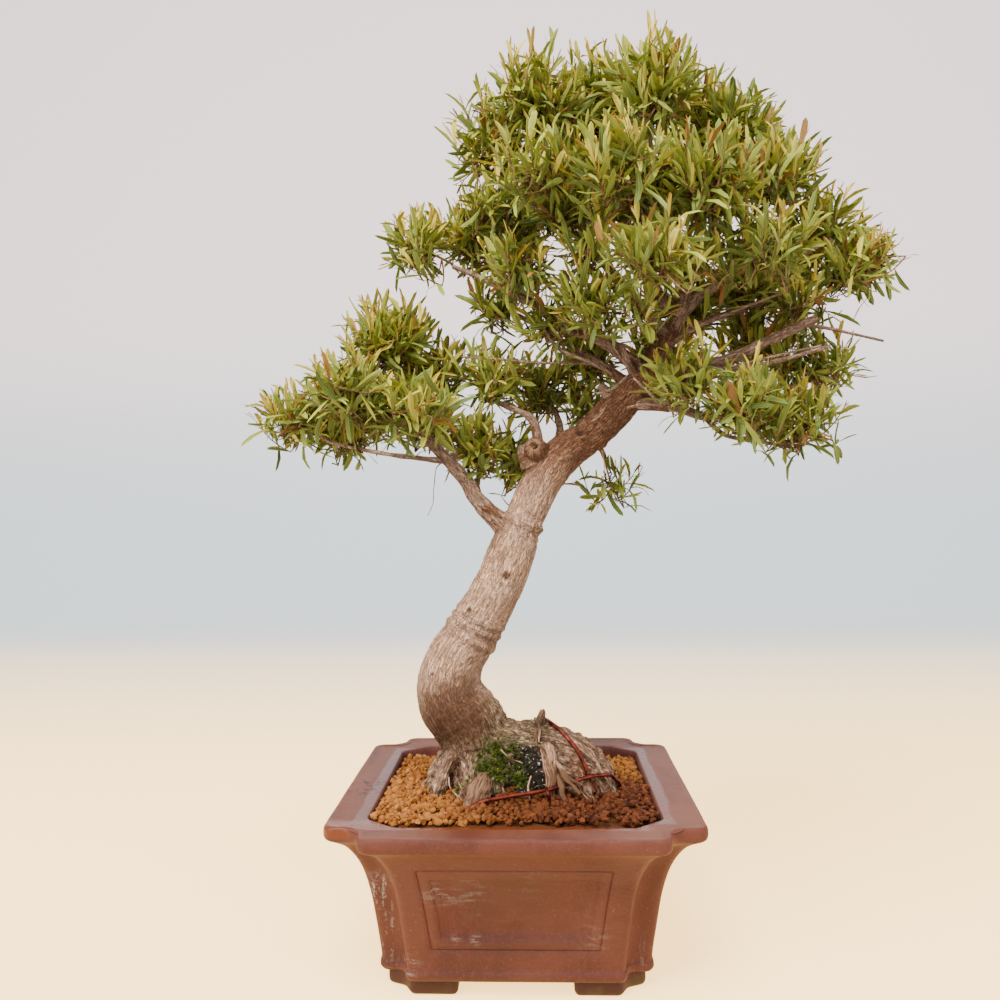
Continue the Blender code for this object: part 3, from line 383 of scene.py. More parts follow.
def make_floor():
    """A sheet of paper on the ground that curves up into a wall behind the tree."""
    bm = bmesh.new()
    front = [bm.verts.new((x, -FLOOR_HALF, 0)) for x in (-FLOOR_HALF * 2, FLOOR_HALF * 2)]
    edge = bm.edges.new(front)
    run = bmesh.ops.extrude_edge_only(bm, edges=[edge])["geom"]
    moved = new_points(run)
    bmesh.ops.translate(bm, verts=moved, vec=(0, FLOOR_HALF + WALL_DISTANCE, 0))
    bmesh.ops.spin(bm, geom=moved + new_edges(run), cent=(0, WALL_DISTANCE, SWEEP_RADIUS),
                   axis=(1, 0, 0), angle=math.pi / 2, steps=16)
    top = [vertex for vertex in bm.verts if vertex.co.z > SWEEP_RADIUS - 0.001]
    ends = [edge for edge in bm.edges if all(end in top for end in edge.verts)]
    rise = bmesh.ops.extrude_edge_only(bm, edges=ends)["geom"]
    bmesh.ops.translate(bm, verts=new_points(rise), vec=(0, 0, WALL_RISE))
    bmesh.ops.recalc_face_normals(bm, faces=bm.faces)
    mesh = mesh_of(bm)
    mesh.shade_smooth()
    floor = bpy.data.objects.new("floor", mesh)
    floor.location = POT_MIDDLE
    bpy.context.scene.collection.objects.link(floor)
    return floor


floor_paint = Paint("studio_paper", Roughness=0.9)
floor_y, floor_z = floor_paint.axes(floor_paint.here)[1:]
floor_paint.base(floor_paint.fade(floor_y, 0.2, 2.4), PAPER_NEAR, PAPER_FAR)
floor_paint.coat(floor_paint.fade(floor_z, 0.2, 1.3), PAPER_HIGH)
glow = floor_paint.mix(floor_paint.fade(floor_y, 0.2, 2.2), GLOW_NEAR, GLOW_FAR)
glow = floor_paint.mix(floor_paint.fade(floor_z, 0.3, 1.2), glow, GLOW_HIGH)
floor = make_floor()
floor.data.materials.append(floor_paint.wear(Emission_Color=glow, Emission_Strength=1.0))
floor.visible_diffuse = False
floor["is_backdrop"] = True
print("floor of", len(floor.data.polygons), "faces")

# %% [markdown]
# The pot is one piece of unglazed clay. Its plan is a square whose corners are stepped in twice,
# which a few named lengths describe. One ring of points follows that plan, and is extruded level
# by level: in along the underside, up the outer wall, over the rim, down the inner wall and in
# along the floor, until the last ring meets the first one at the drainage hole. Extra columns of
# points beside the panels let their moulded borders be pressed in as the wall is made.

# %% Lengths of the pot
RIM_NOTCH = (0.031, 0.026)
NOTCH_SHRINK = 0.20
CORNER_PART = 0.36
HOLLOW_PART = 0.62
ARC_STEPS = 6
DRAIN_RADIUS = 0.016
FLOOR_TOP = 0.026
PANEL_TOP = 0.108
PANEL_BOTTOM = 0.040
PANEL_TOP_HALF = 0.076
PANEL_BOTTOM_HALF = 0.066
PANEL_MARGIN = 0.009
PANEL_STEP = 0.0024
PANEL_GROOVE = 0.0011
PANEL_SLOPE = 0.0011
HAND_WAVES = 0.0005
UNDERSIDE = (0.100, 0.014)
WALL_START = 0.022
PANEL_WALL = (0.026, 0.120)
MOULDING_HALF = 0.140
COLUMN_PARTS = (0.35, 0.7, 1.0)
WALL_OUTER = [
    (0.1090, 0.0140), (0.1107, 0.0170), (0.1105, 0.0210), (0.1096, 0.0250), (0.1128, 0.0500),
    (0.1166, 0.0750), (0.1206, 0.0920), (0.1246, 0.1030), (0.1300, 0.1130), (0.1365, 0.1210),
    (0.1440, 0.1260), (0.1482, 0.1284), (0.1497, 0.1310), (RIM_HALF, 0.1345), (0.1496, 0.1380),
    (0.1482, 0.1397), (0.1466, POT_HEIGHT), (0.1450, 0.1398), (0.1430, 0.1394),
]
WALL_INNER = [
    (0.1400, 0.1391), (0.1250, 0.1389), (0.1196, 0.1387), (0.1182, 0.1382), (0.1174, 0.1370),
    (0.1168, 0.1330), (0.1165, 0.1260), (0.1125, 0.1000), (0.1035, 0.0600), (0.0990, FLOOR_TOP),
]


print(len(WALL_OUTER), "levels outside and", len(WALL_INNER), "inside")


# %% Draw a smooth curve
def smooth_through(points, steps):
    """A smooth curve through points of any size, with steps stretches between two."""
    ends = [points[0], *points, points[-1]]
    curve = []
    for index in range(1, len(ends) - 2):
        before, start, end, after = (Vector(ends[index + turn]) for turn in (-1, 0, 1, 2))
        for step in range(steps):
            t = step / steps
            place = 2 * start + (end - before) * t
            place += (2 * before - 5 * start + 4 * end - after) * t ** 2
            place += (3 * start - 3 * end + after - before) * t ** 3
            curve.append(place / 2)
    curve.append(Vector(points[-1]))
    return curve


# %% Press in the panels
def panel_halves(height):
    """Half widths of the outer and inner panel borders at a height."""
    rise = min(max((height - PANEL_BOTTOM) / (PANEL_TOP - PANEL_BOTTOM), 0), 1)
    outer = PANEL_BOTTOM_HALF + (PANEL_TOP_HALF - PANEL_BOTTOM_HALF) * rise
    return outer, outer - PANEL_MARGIN


def pressed(across, height):
    """How deep the wall is pressed in: a groove round the panel, then a step inside it."""
    outer, inner = panel_halves(height)
    groove = min(outer - abs(across), height - PANEL_BOTTOM, PANEL_TOP - height)
    step = min(inner - abs(across), height - PANEL_BOTTOM - PANEL_MARGIN,
               PANEL_TOP - PANEL_MARGIN - height)
    depth = PANEL_GROOVE * max(1 - abs(groove) / PANEL_SLOPE, 0)
    return depth + PANEL_STEP * min(max(step / PANEL_SLOPE / 2 + 0.5, 0), 1)


def side_columns(end, height):
    """Places along one side of the pot, close together beside the panel's borders."""
    outer, inner = panel_halves(height)
    right = [0.0, inner / 2]
    for border in (inner, outer):
        right += [border - PANEL_SLOPE, border, border + PANEL_SLOPE]
    right += [outer + (end - outer) * part for part in COLUMN_PARTS]
    return [-place for place in reversed(right[1:])] + right


# %% Step in the corners
def rounded(before, corner, after, radius):
    """Points on a soft corner."""
    back = (before - corner).normalized() * radius
    ahead = (after - corner).normalized() * radius
    arc = []
    for step in range(ARC_STEPS + 1):
        angle = math.pi / 2 * step / ARC_STEPS
        arc.append(corner + back * (1 - math.sin(angle)) + ahead * (1 - math.cos(angle)))
    return arc


def soft_notch(start, corners, end, depth, stepped):
    """Points round one corner of the plan: a soft double curve, or a plain slanting cut."""
    first, hollow, last = corners
    soft = depth * CORNER_PART
    if stepped:
        return (rounded(start, first, hollow, soft)
                + rounded(first, hollow, last, depth * HOLLOW_PART)
                + rounded(hollow, last, end, soft))
    near = rounded(start, first, last, soft / 2)
    far = rounded(first, last, end, soft / 2)
    cut = [near[-1].lerp(far[0], (step + 1) / (ARC_STEPS + 2)) for step in range(ARC_STEPS + 1)]
    return near + cut + far


def pot_plan(half, height, stepped):
    """Points round the pot at one level, with the panels pressed in and the corners rounded."""
    notch_x, notch_y = [side - (RIM_HALF - half) * NOTCH_SHRINK for side in RIM_NOTCH]
    plan = []
    for turn in range(4):
        along, inward = (notch_x, notch_y) if turn % 2 == 0 else (notch_y, notch_x)
        depth = min(along, inward)
        columns = side_columns(half - along - depth * CORNER_PART, height)
        side = [Vector((across, -half + pressed(across, height))) for across in columns]
        corners = [Vector((half - along, -half)), Vector((half - along, -half + inward)),
                   Vector((half, -half + inward))]
        side += soft_notch(side[-1], corners, Vector((half, 0)), depth, stepped)
        turned = Matrix.Rotation(math.pi / 2 * turn, 2)
        plan += [turned @ point for point in side]
    return plan


# %% Stack the levels of the pot
def pot_levels():
    """Half width and height of every ring, from the underside round to the floor."""
    outer = [tuple(level) for level in smooth_through(WALL_OUTER, 3)]
    rows = []
    for margin in (0.0, PANEL_MARGIN):
        for border in (PANEL_BOTTOM + margin, PANEL_TOP - margin):
            rows += [border - PANEL_SLOPE, border, border + PANEL_SLOPE]
    wall = [level for level in outer if PANEL_WALL[0] < level[1] < PANEL_WALL[1]]
    halves, heights = zip(*wall)
    for row in rows:
        outer.append((float(np.interp(row, heights, halves)), row))
    low = [level for level in outer if level[1] <= PANEL_WALL[1] and level[0] < MOULDING_HALF]
    high = [level for level in outer if level not in low]
    panel_rows = sorted([level for level in low if level[1] > WALL_START],
                        key=lambda level: level[1])
    low = [level for level in low if level[1] <= WALL_START] + panel_rows
    return [UNDERSIDE] + low + high + WALL_INNER


# %% Make the pot
def ring_on(bm, edges, layer, places):
    """Extrude a ring of edges and put its new points on the given places, in the same order."""
    fresh = bmesh.ops.extrude_edge_only(bm, edges=edges)["geom"]
    for vertex in new_points(fresh):
        vertex.co = places[vertex[layer]]
    return new_edges(fresh)


def pot_rings():
    """The places of every ring of the pot."""
    rings = []
    for half, height in pot_levels():
        ring = []
        for x, y in pot_plan(half, height, (half, height) not in WALL_INNER):
            place = Vector((x, y, height))
            wave = noise.noise(place * 22) * HAND_WAVES + noise.noise(place * 70) * HAND_WAVES / 3
            ring.append(place + Vector((x, y, 0)).normalized() * wave)
        rings.append(ring)
    for ring, height in ((rings[0], UNDERSIDE[1]), (rings[-1], FLOOR_TOP)):
        circle = [Vector((place.x, place.y, 0)).normalized() * DRAIN_RADIUS for place in ring]
        for place in circle:
            place.z = height
        rings.insert(0 if ring is rings[0] else len(rings), circle)
    return rings


def make_pot_mesh():
    """The pot without its feet, one ring of points after the other."""
    rings = pot_rings()
    bm = bmesh.new()
    layer = bm.verts.layers.int.new("turn")
    first = [bm.verts.new(place) for place in rings[0]]
    for index, vertex in enumerate(first):
        vertex[layer] = index
    start = [bm.edges.new((first[index - 1], first[index])) for index in range(len(first))]
    edges = start
    for places in rings[1:]:
        edges = ring_on(bm, edges, layer, places)
    bmesh.ops.bridge_loops(bm, edges=start + edges)
    bmesh.ops.recalc_face_normals(bm, faces=bm.faces)
    return bm


# %% Add the feet
FOOT_HALF = 0.1045
FOOT_REACH = 0.046
FOOT_DEPTH = 0.024
FOOT_NOTCH = (0.021, 0.019)
FOOT_TOP = 0.0165
FOOT_COVE = 0.0065
FOOT_BEVEL = 0.0042


def add_foot(bm, flip_x, flip_y):
    """One corner foot: its plan is extruded upwards and its edges are rounded."""
    inner = FOOT_HALF - FOOT_DEPTH
    notch_x, notch_y = (FOOT_HALF - depth for depth in FOOT_NOTCH)
    cove = (notch_x + FOOT_COVE, notch_y + FOOT_COVE)
    plan = [(FOOT_REACH, FOOT_HALF), (FOOT_REACH, inner), (inner, inner), (inner, FOOT_REACH),
            (FOOT_HALF, FOOT_REACH), (FOOT_HALF, notch_y), cove, (notch_x, FOOT_HALF)]
    low = [bm.verts.new((x * flip_x, y * flip_y, 0)) for x, y in plan]
    raised = bmesh.ops.extrude_face_region(bm, geom=[bm.faces.new(low)])["geom"]
    top = new_points(raised)
    bmesh.ops.translate(bm, verts=top, vec=(0, 0, FOOT_TOP))
    own = low + top
    faces = list(dict.fromkeys(face for vertex in own for face in vertex.link_faces))
    bmesh.ops.recalc_face_normals(bm, faces=faces)
    edges = list(dict.fromkeys(edge for vertex in own for edge in vertex.link_edges))
    bmesh.ops.bevel(bm, geom=edges, offset=FOOT_BEVEL, segments=3, profile=0.5,
                    affect="EDGES", material=-1)


pot_bm = make_pot_mesh()
for flips in ((1, 1), (-1, 1), (-1, -1), (1, -1)):
    add_foot(pot_bm, *flips)
pot_mesh = mesh_of(pot_bm)
print("pot of", len(pot_mesh.polygons), "faces")

# %% [markdown]
# Unglazed clay is never one colour. Iron makes it redder in places, a pink bloom lies on the upper
# wall, hard water leaves chalky streaks where drops run down, and the flat top of the rim is
# rubbed smooth and a little glossy, and lighter and pinker there, partly as painted sheen. Masks
# worked out from the place on the pot put each of these where a real pot has it, and painted
# shade darkens the pressed-in panel and the inside of the wall below the rim.

# %% Colour the clay
clay = Paint("pot_clay", Specular_IOR_Level=0.3)
clay_x, clay_y, clay_z = clay.axes(clay.here)
clay_cloud = clay.cloud(clay.here, 14, 5, 0.6)
clay_grit = clay.cloud(clay.here, 420, 3, 0.7)
clay.base(clay.fade(clay_cloud, 0.34, 0.66), (72, 31, 22), (98, 49, 35))
clay.coat(clay.fade(clay_grit, 0.45, 0.75) * 0.35, (124, 70, 50))
bloom = clay.cloud(clay.place((1, 1, 2.2)), 9, 6, 0.62)
bloom = clay.fade(bloom, 0.40, 0.72) * clay.fade(clay_z, 0.02, 0.12)
clay.coat(bloom * 0.5, (116, 68, 54))
print(len(clay.tree.nodes), "nodes of red clay")

# %% Lay lime on the clay
lime_run = clay.cloud(clay.place((1, 1, 0.13)), 210, 5, 0.7)
lime_wash = clay.cloud(clay.place((0.22, 0.22, 1)), 230, 5, 0.7)
lime_speck = clay.cloud(clay.here, 520, 3, 0.6)
LIME_SPOTS = [
    ((-0.108, -0.094, 0.082), 0.026, 1.2), ((-0.103, -0.092, 0.050), 0.024, 0.7),
    ((-0.064, -0.110, 0.086), 0.018, 0.9), ((-0.100, -0.088, 0.026), 0.030, 0.5),
    ((0.095, -0.090, 0.028), 0.030, 0.4), ((-0.118, 0.030, 0.070), 0.040, 0.8),
    ((0.050, 0.118, 0.085), 0.045, 0.9), ((0.118, 0.010, 0.050), 0.035, 0.6),
]
WASH_SPOTS = [
    ((-0.063, -0.110, 0.088), 0.020, 1.2), ((-0.036, -0.112, 0.088), 0.034, 0.6),
    ((-0.046, -0.110, 0.0475), 0.009, 0.6), ((-0.031, -0.110, 0.0475), 0.009, 0.8),
    ((-0.088, -0.114, 0.026), 0.024, 0.8), ((0.060, -0.110, 0.050), 0.030, 0.4),
    ((0.010, -0.114, 0.104), 0.040, 0.4), ((-0.112, -0.060, 0.050), 0.040, 0.8),
]


def spots_on(paint, spots):
    """Soft spots of different strength, added up."""
    total = 0.0
    for spot, reach, amount in spots:
        total = paint.near(spot, reach, 1.0) * amount + total
    return total


lime_mask = clay.fade(spots_on(clay, LIME_SPOTS), 0.05, 1.0)
wash_mask = clay.fade(spots_on(clay, WASH_SPOTS), 0.05, 1.0)
lime_streaks = clay.fade(lime_run * 0.7 + lime_speck * 0.3, 0.52, 0.64)
lime_haze = clay.fade(lime_wash * 0.75 + lime_speck * 0.25, 0.48, 0.68) * 0.75
lime = (lime_streaks * lime_mask).larger(lime_haze * wash_mask)
stray = clay.fade(clay.cells(clay.here, 170), 0.10, 0.045) * clay.fade(clay_cloud, 0.50, 0.62)
lime = (lime * 0.8).larger(stray * 0.35)
clay.coat(lime, (212, 184, 158))
print(len(LIME_SPOTS) + len(WASH_SPOTS), "places with lime")

# %% Rub the rim, darken the damp places and the feet, and paint shade on the pot
CHIPPED_PLACE = (-0.134, -0.020, 0.139)
PANEL_CENTRE = (0.0, -0.112, 0.068)
POT_INSIDE = (0, 0, 0.12)
facing_up = clay.axes(clay.node("ShaderNodeNewGeometry", output=1))[2]
rim_top = clay.fade(facing_up, 0.75, 0.95) * clay.fade(clay_z, 0.1365, 0.1380)
rim_cloud = clay.cloud(clay.place((1, 0.5, 1)), 24, 4)
# The rubbed top of the rim is lighter and pinker: partly its own worn clay, partly painted sheen.
rim_wear_and_sheen = clay.mix(clay.fade(rim_cloud, 0.35, 0.65), (92, 44, 26), (116, 66, 44))
clay.coat(rim_top * 0.85, rim_wear_and_sheen)
inward = clay_x.size().larger(clay_y.size() + 0.015) + rim_cloud * 0.016
rim_wet = clay.fade(inward, 0.1370, 0.1340) * rim_top
clay.coat(rim_wet * 0.40, (86, 40, 28))
chips = clay.fade(clay.cells(clay.here, 150), 0.42, 0.32) * clay.fade(clay_grit, 0.40, 0.50)
chips = chips * rim_top * clay.near(CHIPPED_PLACE, 0.030)
clay.coat(chips, (58, 24, 18))
damp = clay.fade(clay_y + clay_cloud * 0.006, -0.1235, -0.1210) * clay.fade(clay_y, -0.100, -0.112)
damp = damp * clay.fade(clay_z, 0.1300, 0.1340) * clay.fade(clay_x, 0.112, 0.100)
clay.coat(damp * 0.9, (112, 48, 18))
# The feet get darker towards the bottom.
foot_dark = clay.fade(clay_z + clay_cloud * 0.006, 0.020, 0.012)
foot_green = clay.fade(clay.cloud(clay.here, 40, 4), 0.48, 0.62) * foot_dark
clay.coat(foot_dark * 0.8, (48, 21, 14))
# Painted shade: the pressed-in panel is darkened round its middle.
painted_panel_shade = clay.near(PANEL_CENTRE, 0.062, 0.5)
clay.coat(painted_panel_shade * 0.22, (56, 24, 18))
clay.coat(foot_green * 0.4, (84, 66, 30))
# Painted shade on the inside of the wall, just below the rim.
painted_inner_shade = clay.fade(clay_z, 0.137, 0.131) * clay.near(POT_INSIDE, 0.128, 0.1)
clay.coat(painted_inner_shade * 0.6, (74, 40, 28))

clay_rough = 0.62 - rim_top * 0.14 - rim_wet * 0.24 - damp * 0.30 + lime * 0.2 + clay_cloud * 0.08
clay_relief = clay.bump(clay_grit, 0.00035)
clay_relief = clay.bump(clay_cloud, 0.0016, clay_relief)
clay_relief = clay.bump(1 - chips, 0.0006, clay_relief)
pot_clay = clay.wear(Roughness=clay_rough, Normal=clay_relief)

pot = finish_piece(pot_mesh, "clay_pot", "pot_clay", pot_clay, sharp=math.radians(60))
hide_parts("pot")

# %% [markdown]
# The wood is described as a grower sees it: the trunk line, the roots that spread from its foot
# and the limbs that leave it, each a short list of places with the thickness there. A smooth
# curve through such a list gives a natural line. Blender's curves with a round bevel turn these
# lines into tubes, and a voxel remesh melts the thick ones into a single body with soft forks.

# %% Lines of the trunk and the roots
# Every row is a line, and every place in it is (x, y, z, radius).
TRUNK = metres([
    (-28, -6, 120, 36), (-30, -4, 145, 34), (-34, -3, 172, 32), (-44, -2, 194, 32),
    (-56, -2, 210, 31.2), (-60, -3, 229, 29), (-53, -5, 252, 26.5), (-37, -7, 276, 24.5),
    (-22, -9, 303, 22.5), (-11, -10, 323, 21.5), (0, -10, 352, 20.5), (8, -9, 373, 17.5),
    (17, -7, 393, 17.5), (32, -3, 419, 18), (49, 2, 437, 17.5), (68, 6, 449, 15.5),
    (86, 8, 466, 16.5), (105, 6, 486, 15), (120, 4, 505, 12), (133, 2, 527, 10),
    (143, 0, 546, 8.5),
])
ROOTS = metres({
    "right_mass": [(-24, -5, 160, 34), (15, -8, 159, 36), (44, -8, 152, 33), (66, -8, 144, 25),
                   (84, -6, 128, 12)],
    "ridge": [(4, -12, 188, 9), (40, -20, 180, 9), (66, -24, 162, 8), (84, -26, 134, 5)],
    "front": [(-30, -18, 162, 22), (-33, -46, 150, 13), (-30, -63, 141, 9), (-29, -74, 126, 5)],
    "left": [(-44, -4, 168, 24), (-62, -7, 152, 15), (-74, -10, 138, 10), (-84, -12, 122, 5)],
    "back_left": [(-38, 12, 162, 22), (-56, 38, 148, 12), (-67, 56, 126, 6)],
    "back": [(-4, 12, 160, 26), (4, 46, 147, 14), (8, 68, 124, 6)],
    "back_right": [(42, 8, 156, 23), (62, 32, 144, 12), (76, 50, 122, 6)],
    "front_middle": [(0, -20, 162, 20), (8, -44, 150, 10), (12, -60, 126, 5)],
    "dead": [(28, -26, 178, 7), (31, -41, 163, 7.5), (33, -46, 145, 7), (34, -47, 124, 5)],
    "snag": [(19, -10, 186, 5), (22, -10, 198, 3.5), (23, -11, 205, 2)],
})
print("trunk of", len(TRUNK), "places and", len(ROOTS), "roots")

# %% Lines of the limbs
LIMBS = metres({
    "leader": [(143, 0, 542, 8), (155, -4, 574, 7), (153, -4, 610, 5.5), (141, 0, 652, 4.5),
               (131, 4, 694, 3.5), (122, 4, 732, 2.5)],
    "low_left": [(0, -10, 358, 9.5), (-30, -14, 391, 7.2), (-45, -18, 414, 6.2),
                 (-60, -22, 430, 5.6), (-83, -24, 457, 4.2)],
    "low_left_fork": [(-58, -22, 427, 3), (-74, -30, 429, 2.4), (-106, -42, 433, 2),
                      (-141, -38, 440, 1.6), (-166, -30, 447, 1.3)],
    "low_left_side": [(-54, -20, 423, 2.8), (-53, -6, 438, 2.4), (-65, 12, 458, 2),
                      (-74, 22, 474, 1.6)],
    "low_left_top": [(-81, -24, 454, 3.4), (-93, -20, 478, 2.8), (-104, -14, 506, 2.2),
                     (-110, -10, 522, 1.6)],
    "low_left_tip": [(-81, -24, 454, 3.2), (-104, -34, 466, 2.5), (-140, -38, 475, 1.7)],
    "low_left_back": [(-81, -24, 454, 2.8), (-103, 0, 468, 2.2), (-129, 22, 476, 1.7)],
    "middle": [(24, -4, 436, 5), (18, -6, 464, 3.4), (-5, -2, 477, 2.6), (-20, 2, 484, 2)],
    "middle_back": [(42, 6, 440, 5), (43, 34, 463, 3.4), (38, 48, 480, 2.3)],
    "clump": [(-26, -12, 386, 3), (-32, -2, 402, 2.2), (-34, 2, 412, 1.7)],
    "upper_left": [(119, 2, 507, 7.5), (96, -6, 524, 6), (71, -12, 538, 5), (36, -16, 557, 4.2),
                   (8, -18, 572, 3.5), (-23, -18, 588, 2.7), (-52, -16, 601, 2)],
    "upper_left_back": [(36, -16, 557, 3), (7, 2, 583, 2.4), (-16, 14, 606, 1.8)],
    "upper_left_low": [(110, 4, 492, 6), (80, 10, 516, 3.6), (44, 18, 540, 2.8), (7, 20, 563, 2.2),
                       (-28, 16, 578, 1.5)],
    "crown_left": [(140, 0, 537, 6.5), (114, -12, 564, 5.2), (86, -20, 595, 4.6),
                   (65, -22, 628, 3.8), (45, -20, 657, 3), (27, -16, 694, 2.2)],
    "crown_left_out": [(70, -22, 618, 3), (44, -10, 638, 2.5), (13, -2, 663, 2),
                       (-6, 2, 684, 1.5)],
    "crown_middle": [(147, -2, 554, 5.5), (126, 14, 593, 4.4), (105, 22, 641, 3.6),
                     (92, 24, 689, 2.8), (83, 22, 736, 1.9)],
    "crown_back": [(126, 14, 590, 4), (116, 50, 640, 3), (108, 76, 690, 2)],
    "crown_front": [(154, -6, 579, 4.6), (135, -40, 590, 3.4), (118, -66, 606, 2.5),
                    (106, -80, 630, 1.7)],
    "crown_right": [(155, -4, 577, 5.2), (176, 4, 617, 4), (191, 8, 658, 3.2), (196, 10, 700, 2)],
    "crown_right_front": [(173, 2, 610, 3.4), (174, -32, 628, 2.6), (166, -56, 642, 1.8)],
    "right_high": [(135, 2, 530, 8), (153, -2, 560, 6.6), (178, -6, 582, 5.4), (205, -8, 596, 4.4),
                   (249, -8, 605, 3), (285, -6, 620, 1.9)],
    "right_high_up": [(188, -6, 587, 3.6), (202, -14, 611, 2.8), (221, -18, 640, 1.8)],
    "right_back": [(160, -2, 567, 4.8), (198, 34, 587, 3.4), (241, 56, 606, 2.2)],
    "right_long": [(138, 2, 532, 5), (171, 14, 552, 3.8), (209, 22, 565, 3), (254, 26, 581, 2.2),
                   (284, 24, 591, 1.6)],
    "right_cut": [(122, 0, 500, 7), (157, -12, 505, 5.6), (200, -20, 518, 4.8),
                  (228, -24, 531, 4.4), (265, -26, 547, 3.8)],
    "right_cut_twig": [(255, -26, 542, 2), (280, -26, 537, 1.4), (322, -24, 527, 1)],
    "right_thin": [(164, -13, 506, 3), (204, -36, 504, 2.2), (270, -44, 520, 1.6)],
    "right_low": [(104, 4, 480, 7), (145, -12, 473, 4.6), (171, -20, 464, 4),
                  (213, -26, 468, 3.2)],
    "right_low_twig": [(168, -18, 465, 2.6), (185, -26, 447, 2), (218, -30, 440, 1.6),
                       (238, -28, 436, 1.3)],
    "right_middle": [(108, 6, 486, 6), (161, 14, 489, 3.2), (197, 12, 492, 2.4),
                     (254, 6, 492, 1.6)],
    "right_middle_back": [(161, 14, 489, 2.7), (193, 34, 512, 2.1), (220, 46, 533, 1.6)],
    "hanging": [(68, 10, 447, 4.5), (81, 34, 440, 2.8), (86, 44, 431, 2)],
    "stub_broken": [(95, 8, 475, 8), (85, 4, 488, 5.8), (79, 3, 496, 3.6)],
    "stub_cut": [(113, 4, 500, 5), (101, -14, 516, 3), (96, -20, 528, 2.4)],
    "hook_twig": [(71, -12, 537, 2.4), (52, -26, 538, 1.6), (41, -30, 550, 1.3),
                  (50, -34, 570, 1)],
    "knot": [(17, -6, 425, 12), (11, -8, 437, 7.5), (9, -9, 442, 4.5)],
})
print(len(LIMBS), "limbs")


# %% Turn lines into tubes
def tubes(lines, steps, rings, swell=1.0):
    """A mesh with one closed round tube for each line of (x, y, z, radius)."""
    data = bpy.data.curves.new("lines", "CURVE")
    data.dimensions = "3D"
    data.bevel_depth = 1.0
    data.bevel_resolution = rings
    data.use_fill_caps = True
    for line in lines:
        smooth = smooth_through(line, steps)
        spline = data.splines.new("POLY")
        spline.points.add(len(smooth) - 1)
        for point, (x, y, z, radius) in zip(spline.points, smooth):
            point.co = (x, y, z, 1)
            point.radius = radius * swell
    holder = bpy.data.objects.new("lines", data)
    bpy.context.scene.collection.objects.link(holder)
    bpy.context.view_layer.update()
    evaluated = holder.evaluated_get(bpy.context.evaluated_depsgraph_get())
    mesh = bpy.data.meshes.new_from_object(evaluated)
    bpy.data.objects.remove(holder, do_unlink=True)
    bpy.data.curves.remove(data)
    return mesh


# %% Find the grain of the wood
LINE_SHIFT = 0.37


def line_samples(lines, steps=8):
    """Dense places on the lines: place, radius, direction, two sides and the length so far.

    Each line starts further on in the grain, so that no two have the same wrinkles.
    """
    samples = []
    for number, line in enumerate(lines):
        smooth = smooth_through(line, steps)
        side = Vector((0, 1, 0))
        length = number * LINE_SHIFT
        for index, values in enumerate(smooth):
            place = Vector(values[:3])
            ahead = Vector(smooth[min(index + 1, len(smooth) - 1)][:3])
            behind = Vector(smooth[max(index - 1, 0)][:3])
            along = (ahead - behind).normalized()
            side = (side - along * side.dot(along)).normalized()
            if index:
                length += (place - Vector(smooth[index - 1][:3])).length
            samples.append((*place, values[3], *along, *side, *along.cross(side), length))
    return np.array(samples)


def grain_of(places, samples):
    """For each place on the wood, where it is round its limb and along it, in metres."""
    grain = np.zeros((len(places), 3))
    thick = np.zeros(len(places))
    for start in range(0, len(places), 4000):
        part = places[start:start + 4000]
        gap = part[:, None, :] - samples[None, :, :3]
        nearest = (np.linalg.norm(gap, axis=2) - samples[None, :, 3]).argmin(axis=1)
        chosen = samples[nearest]
        offset = part - chosen[:, :3]
        angle = np.arctan2((offset * chosen[:, 10:13]).sum(1), (offset * chosen[:, 7:10]).sum(1))
        here = chosen[:, 13] + (offset * chosen[:, 4:7]).sum(1)
        grain[start:start + 4000, 0] = np.cos(angle) * chosen[:, 3]
        grain[start:start + 4000, 1] = np.sin(angle) * chosen[:, 3]
        grain[start:start + 4000, 2] = here
        thick[start:start + 4000] = chosen[:, 3]
    return grain, thick


# %% Shape wood along its grain
def store(mesh, name, values):
    """Keep a vector for every point of a mesh."""
    layer = mesh.attributes.new(name, "FLOAT_VECTOR", "POINT")
    layer.data.foreach_set("vector", np.asarray(values, dtype=np.float32).ravel())


def push_out(mesh, heights):
    """Move every point of a mesh outward by its own height."""
    normals = [vertex.normal.copy() for vertex in mesh.vertices]
    for vertex, normal, height in zip(mesh.vertices, normals, heights):
        vertex.co += normal * height


def places_of(mesh):
    """The points of a mesh as an array."""
    flat = np.zeros(len(mesh.vertices) * 3)
    mesh.vertices.foreach_get("co", flat)
    return flat.reshape(-1, 3)


def grain_point(grain, across, along):
    """A place in noise that is finer across the wood than along it."""
    return Vector((grain[0] * across, grain[1] * across, grain[2] * along))


def ridges(grain, across, along):
    """Noise with sharp crests that run along the wood."""
    return noise.ridged_multi_fractal(grain_point(grain, across, along), 0.9, 2.1, 3, 1.0, 1.6)


# %% [markdown]
# The trunk's own form comes from its line, and its age from what is laid over it: folds that run
# with the wood, rings where a limb was taken off, knots with a raised lip, and knuckles where the
# roots meet the soil. These are small moves of the remeshed points along their own normals, which
# keep the form of the model under them.

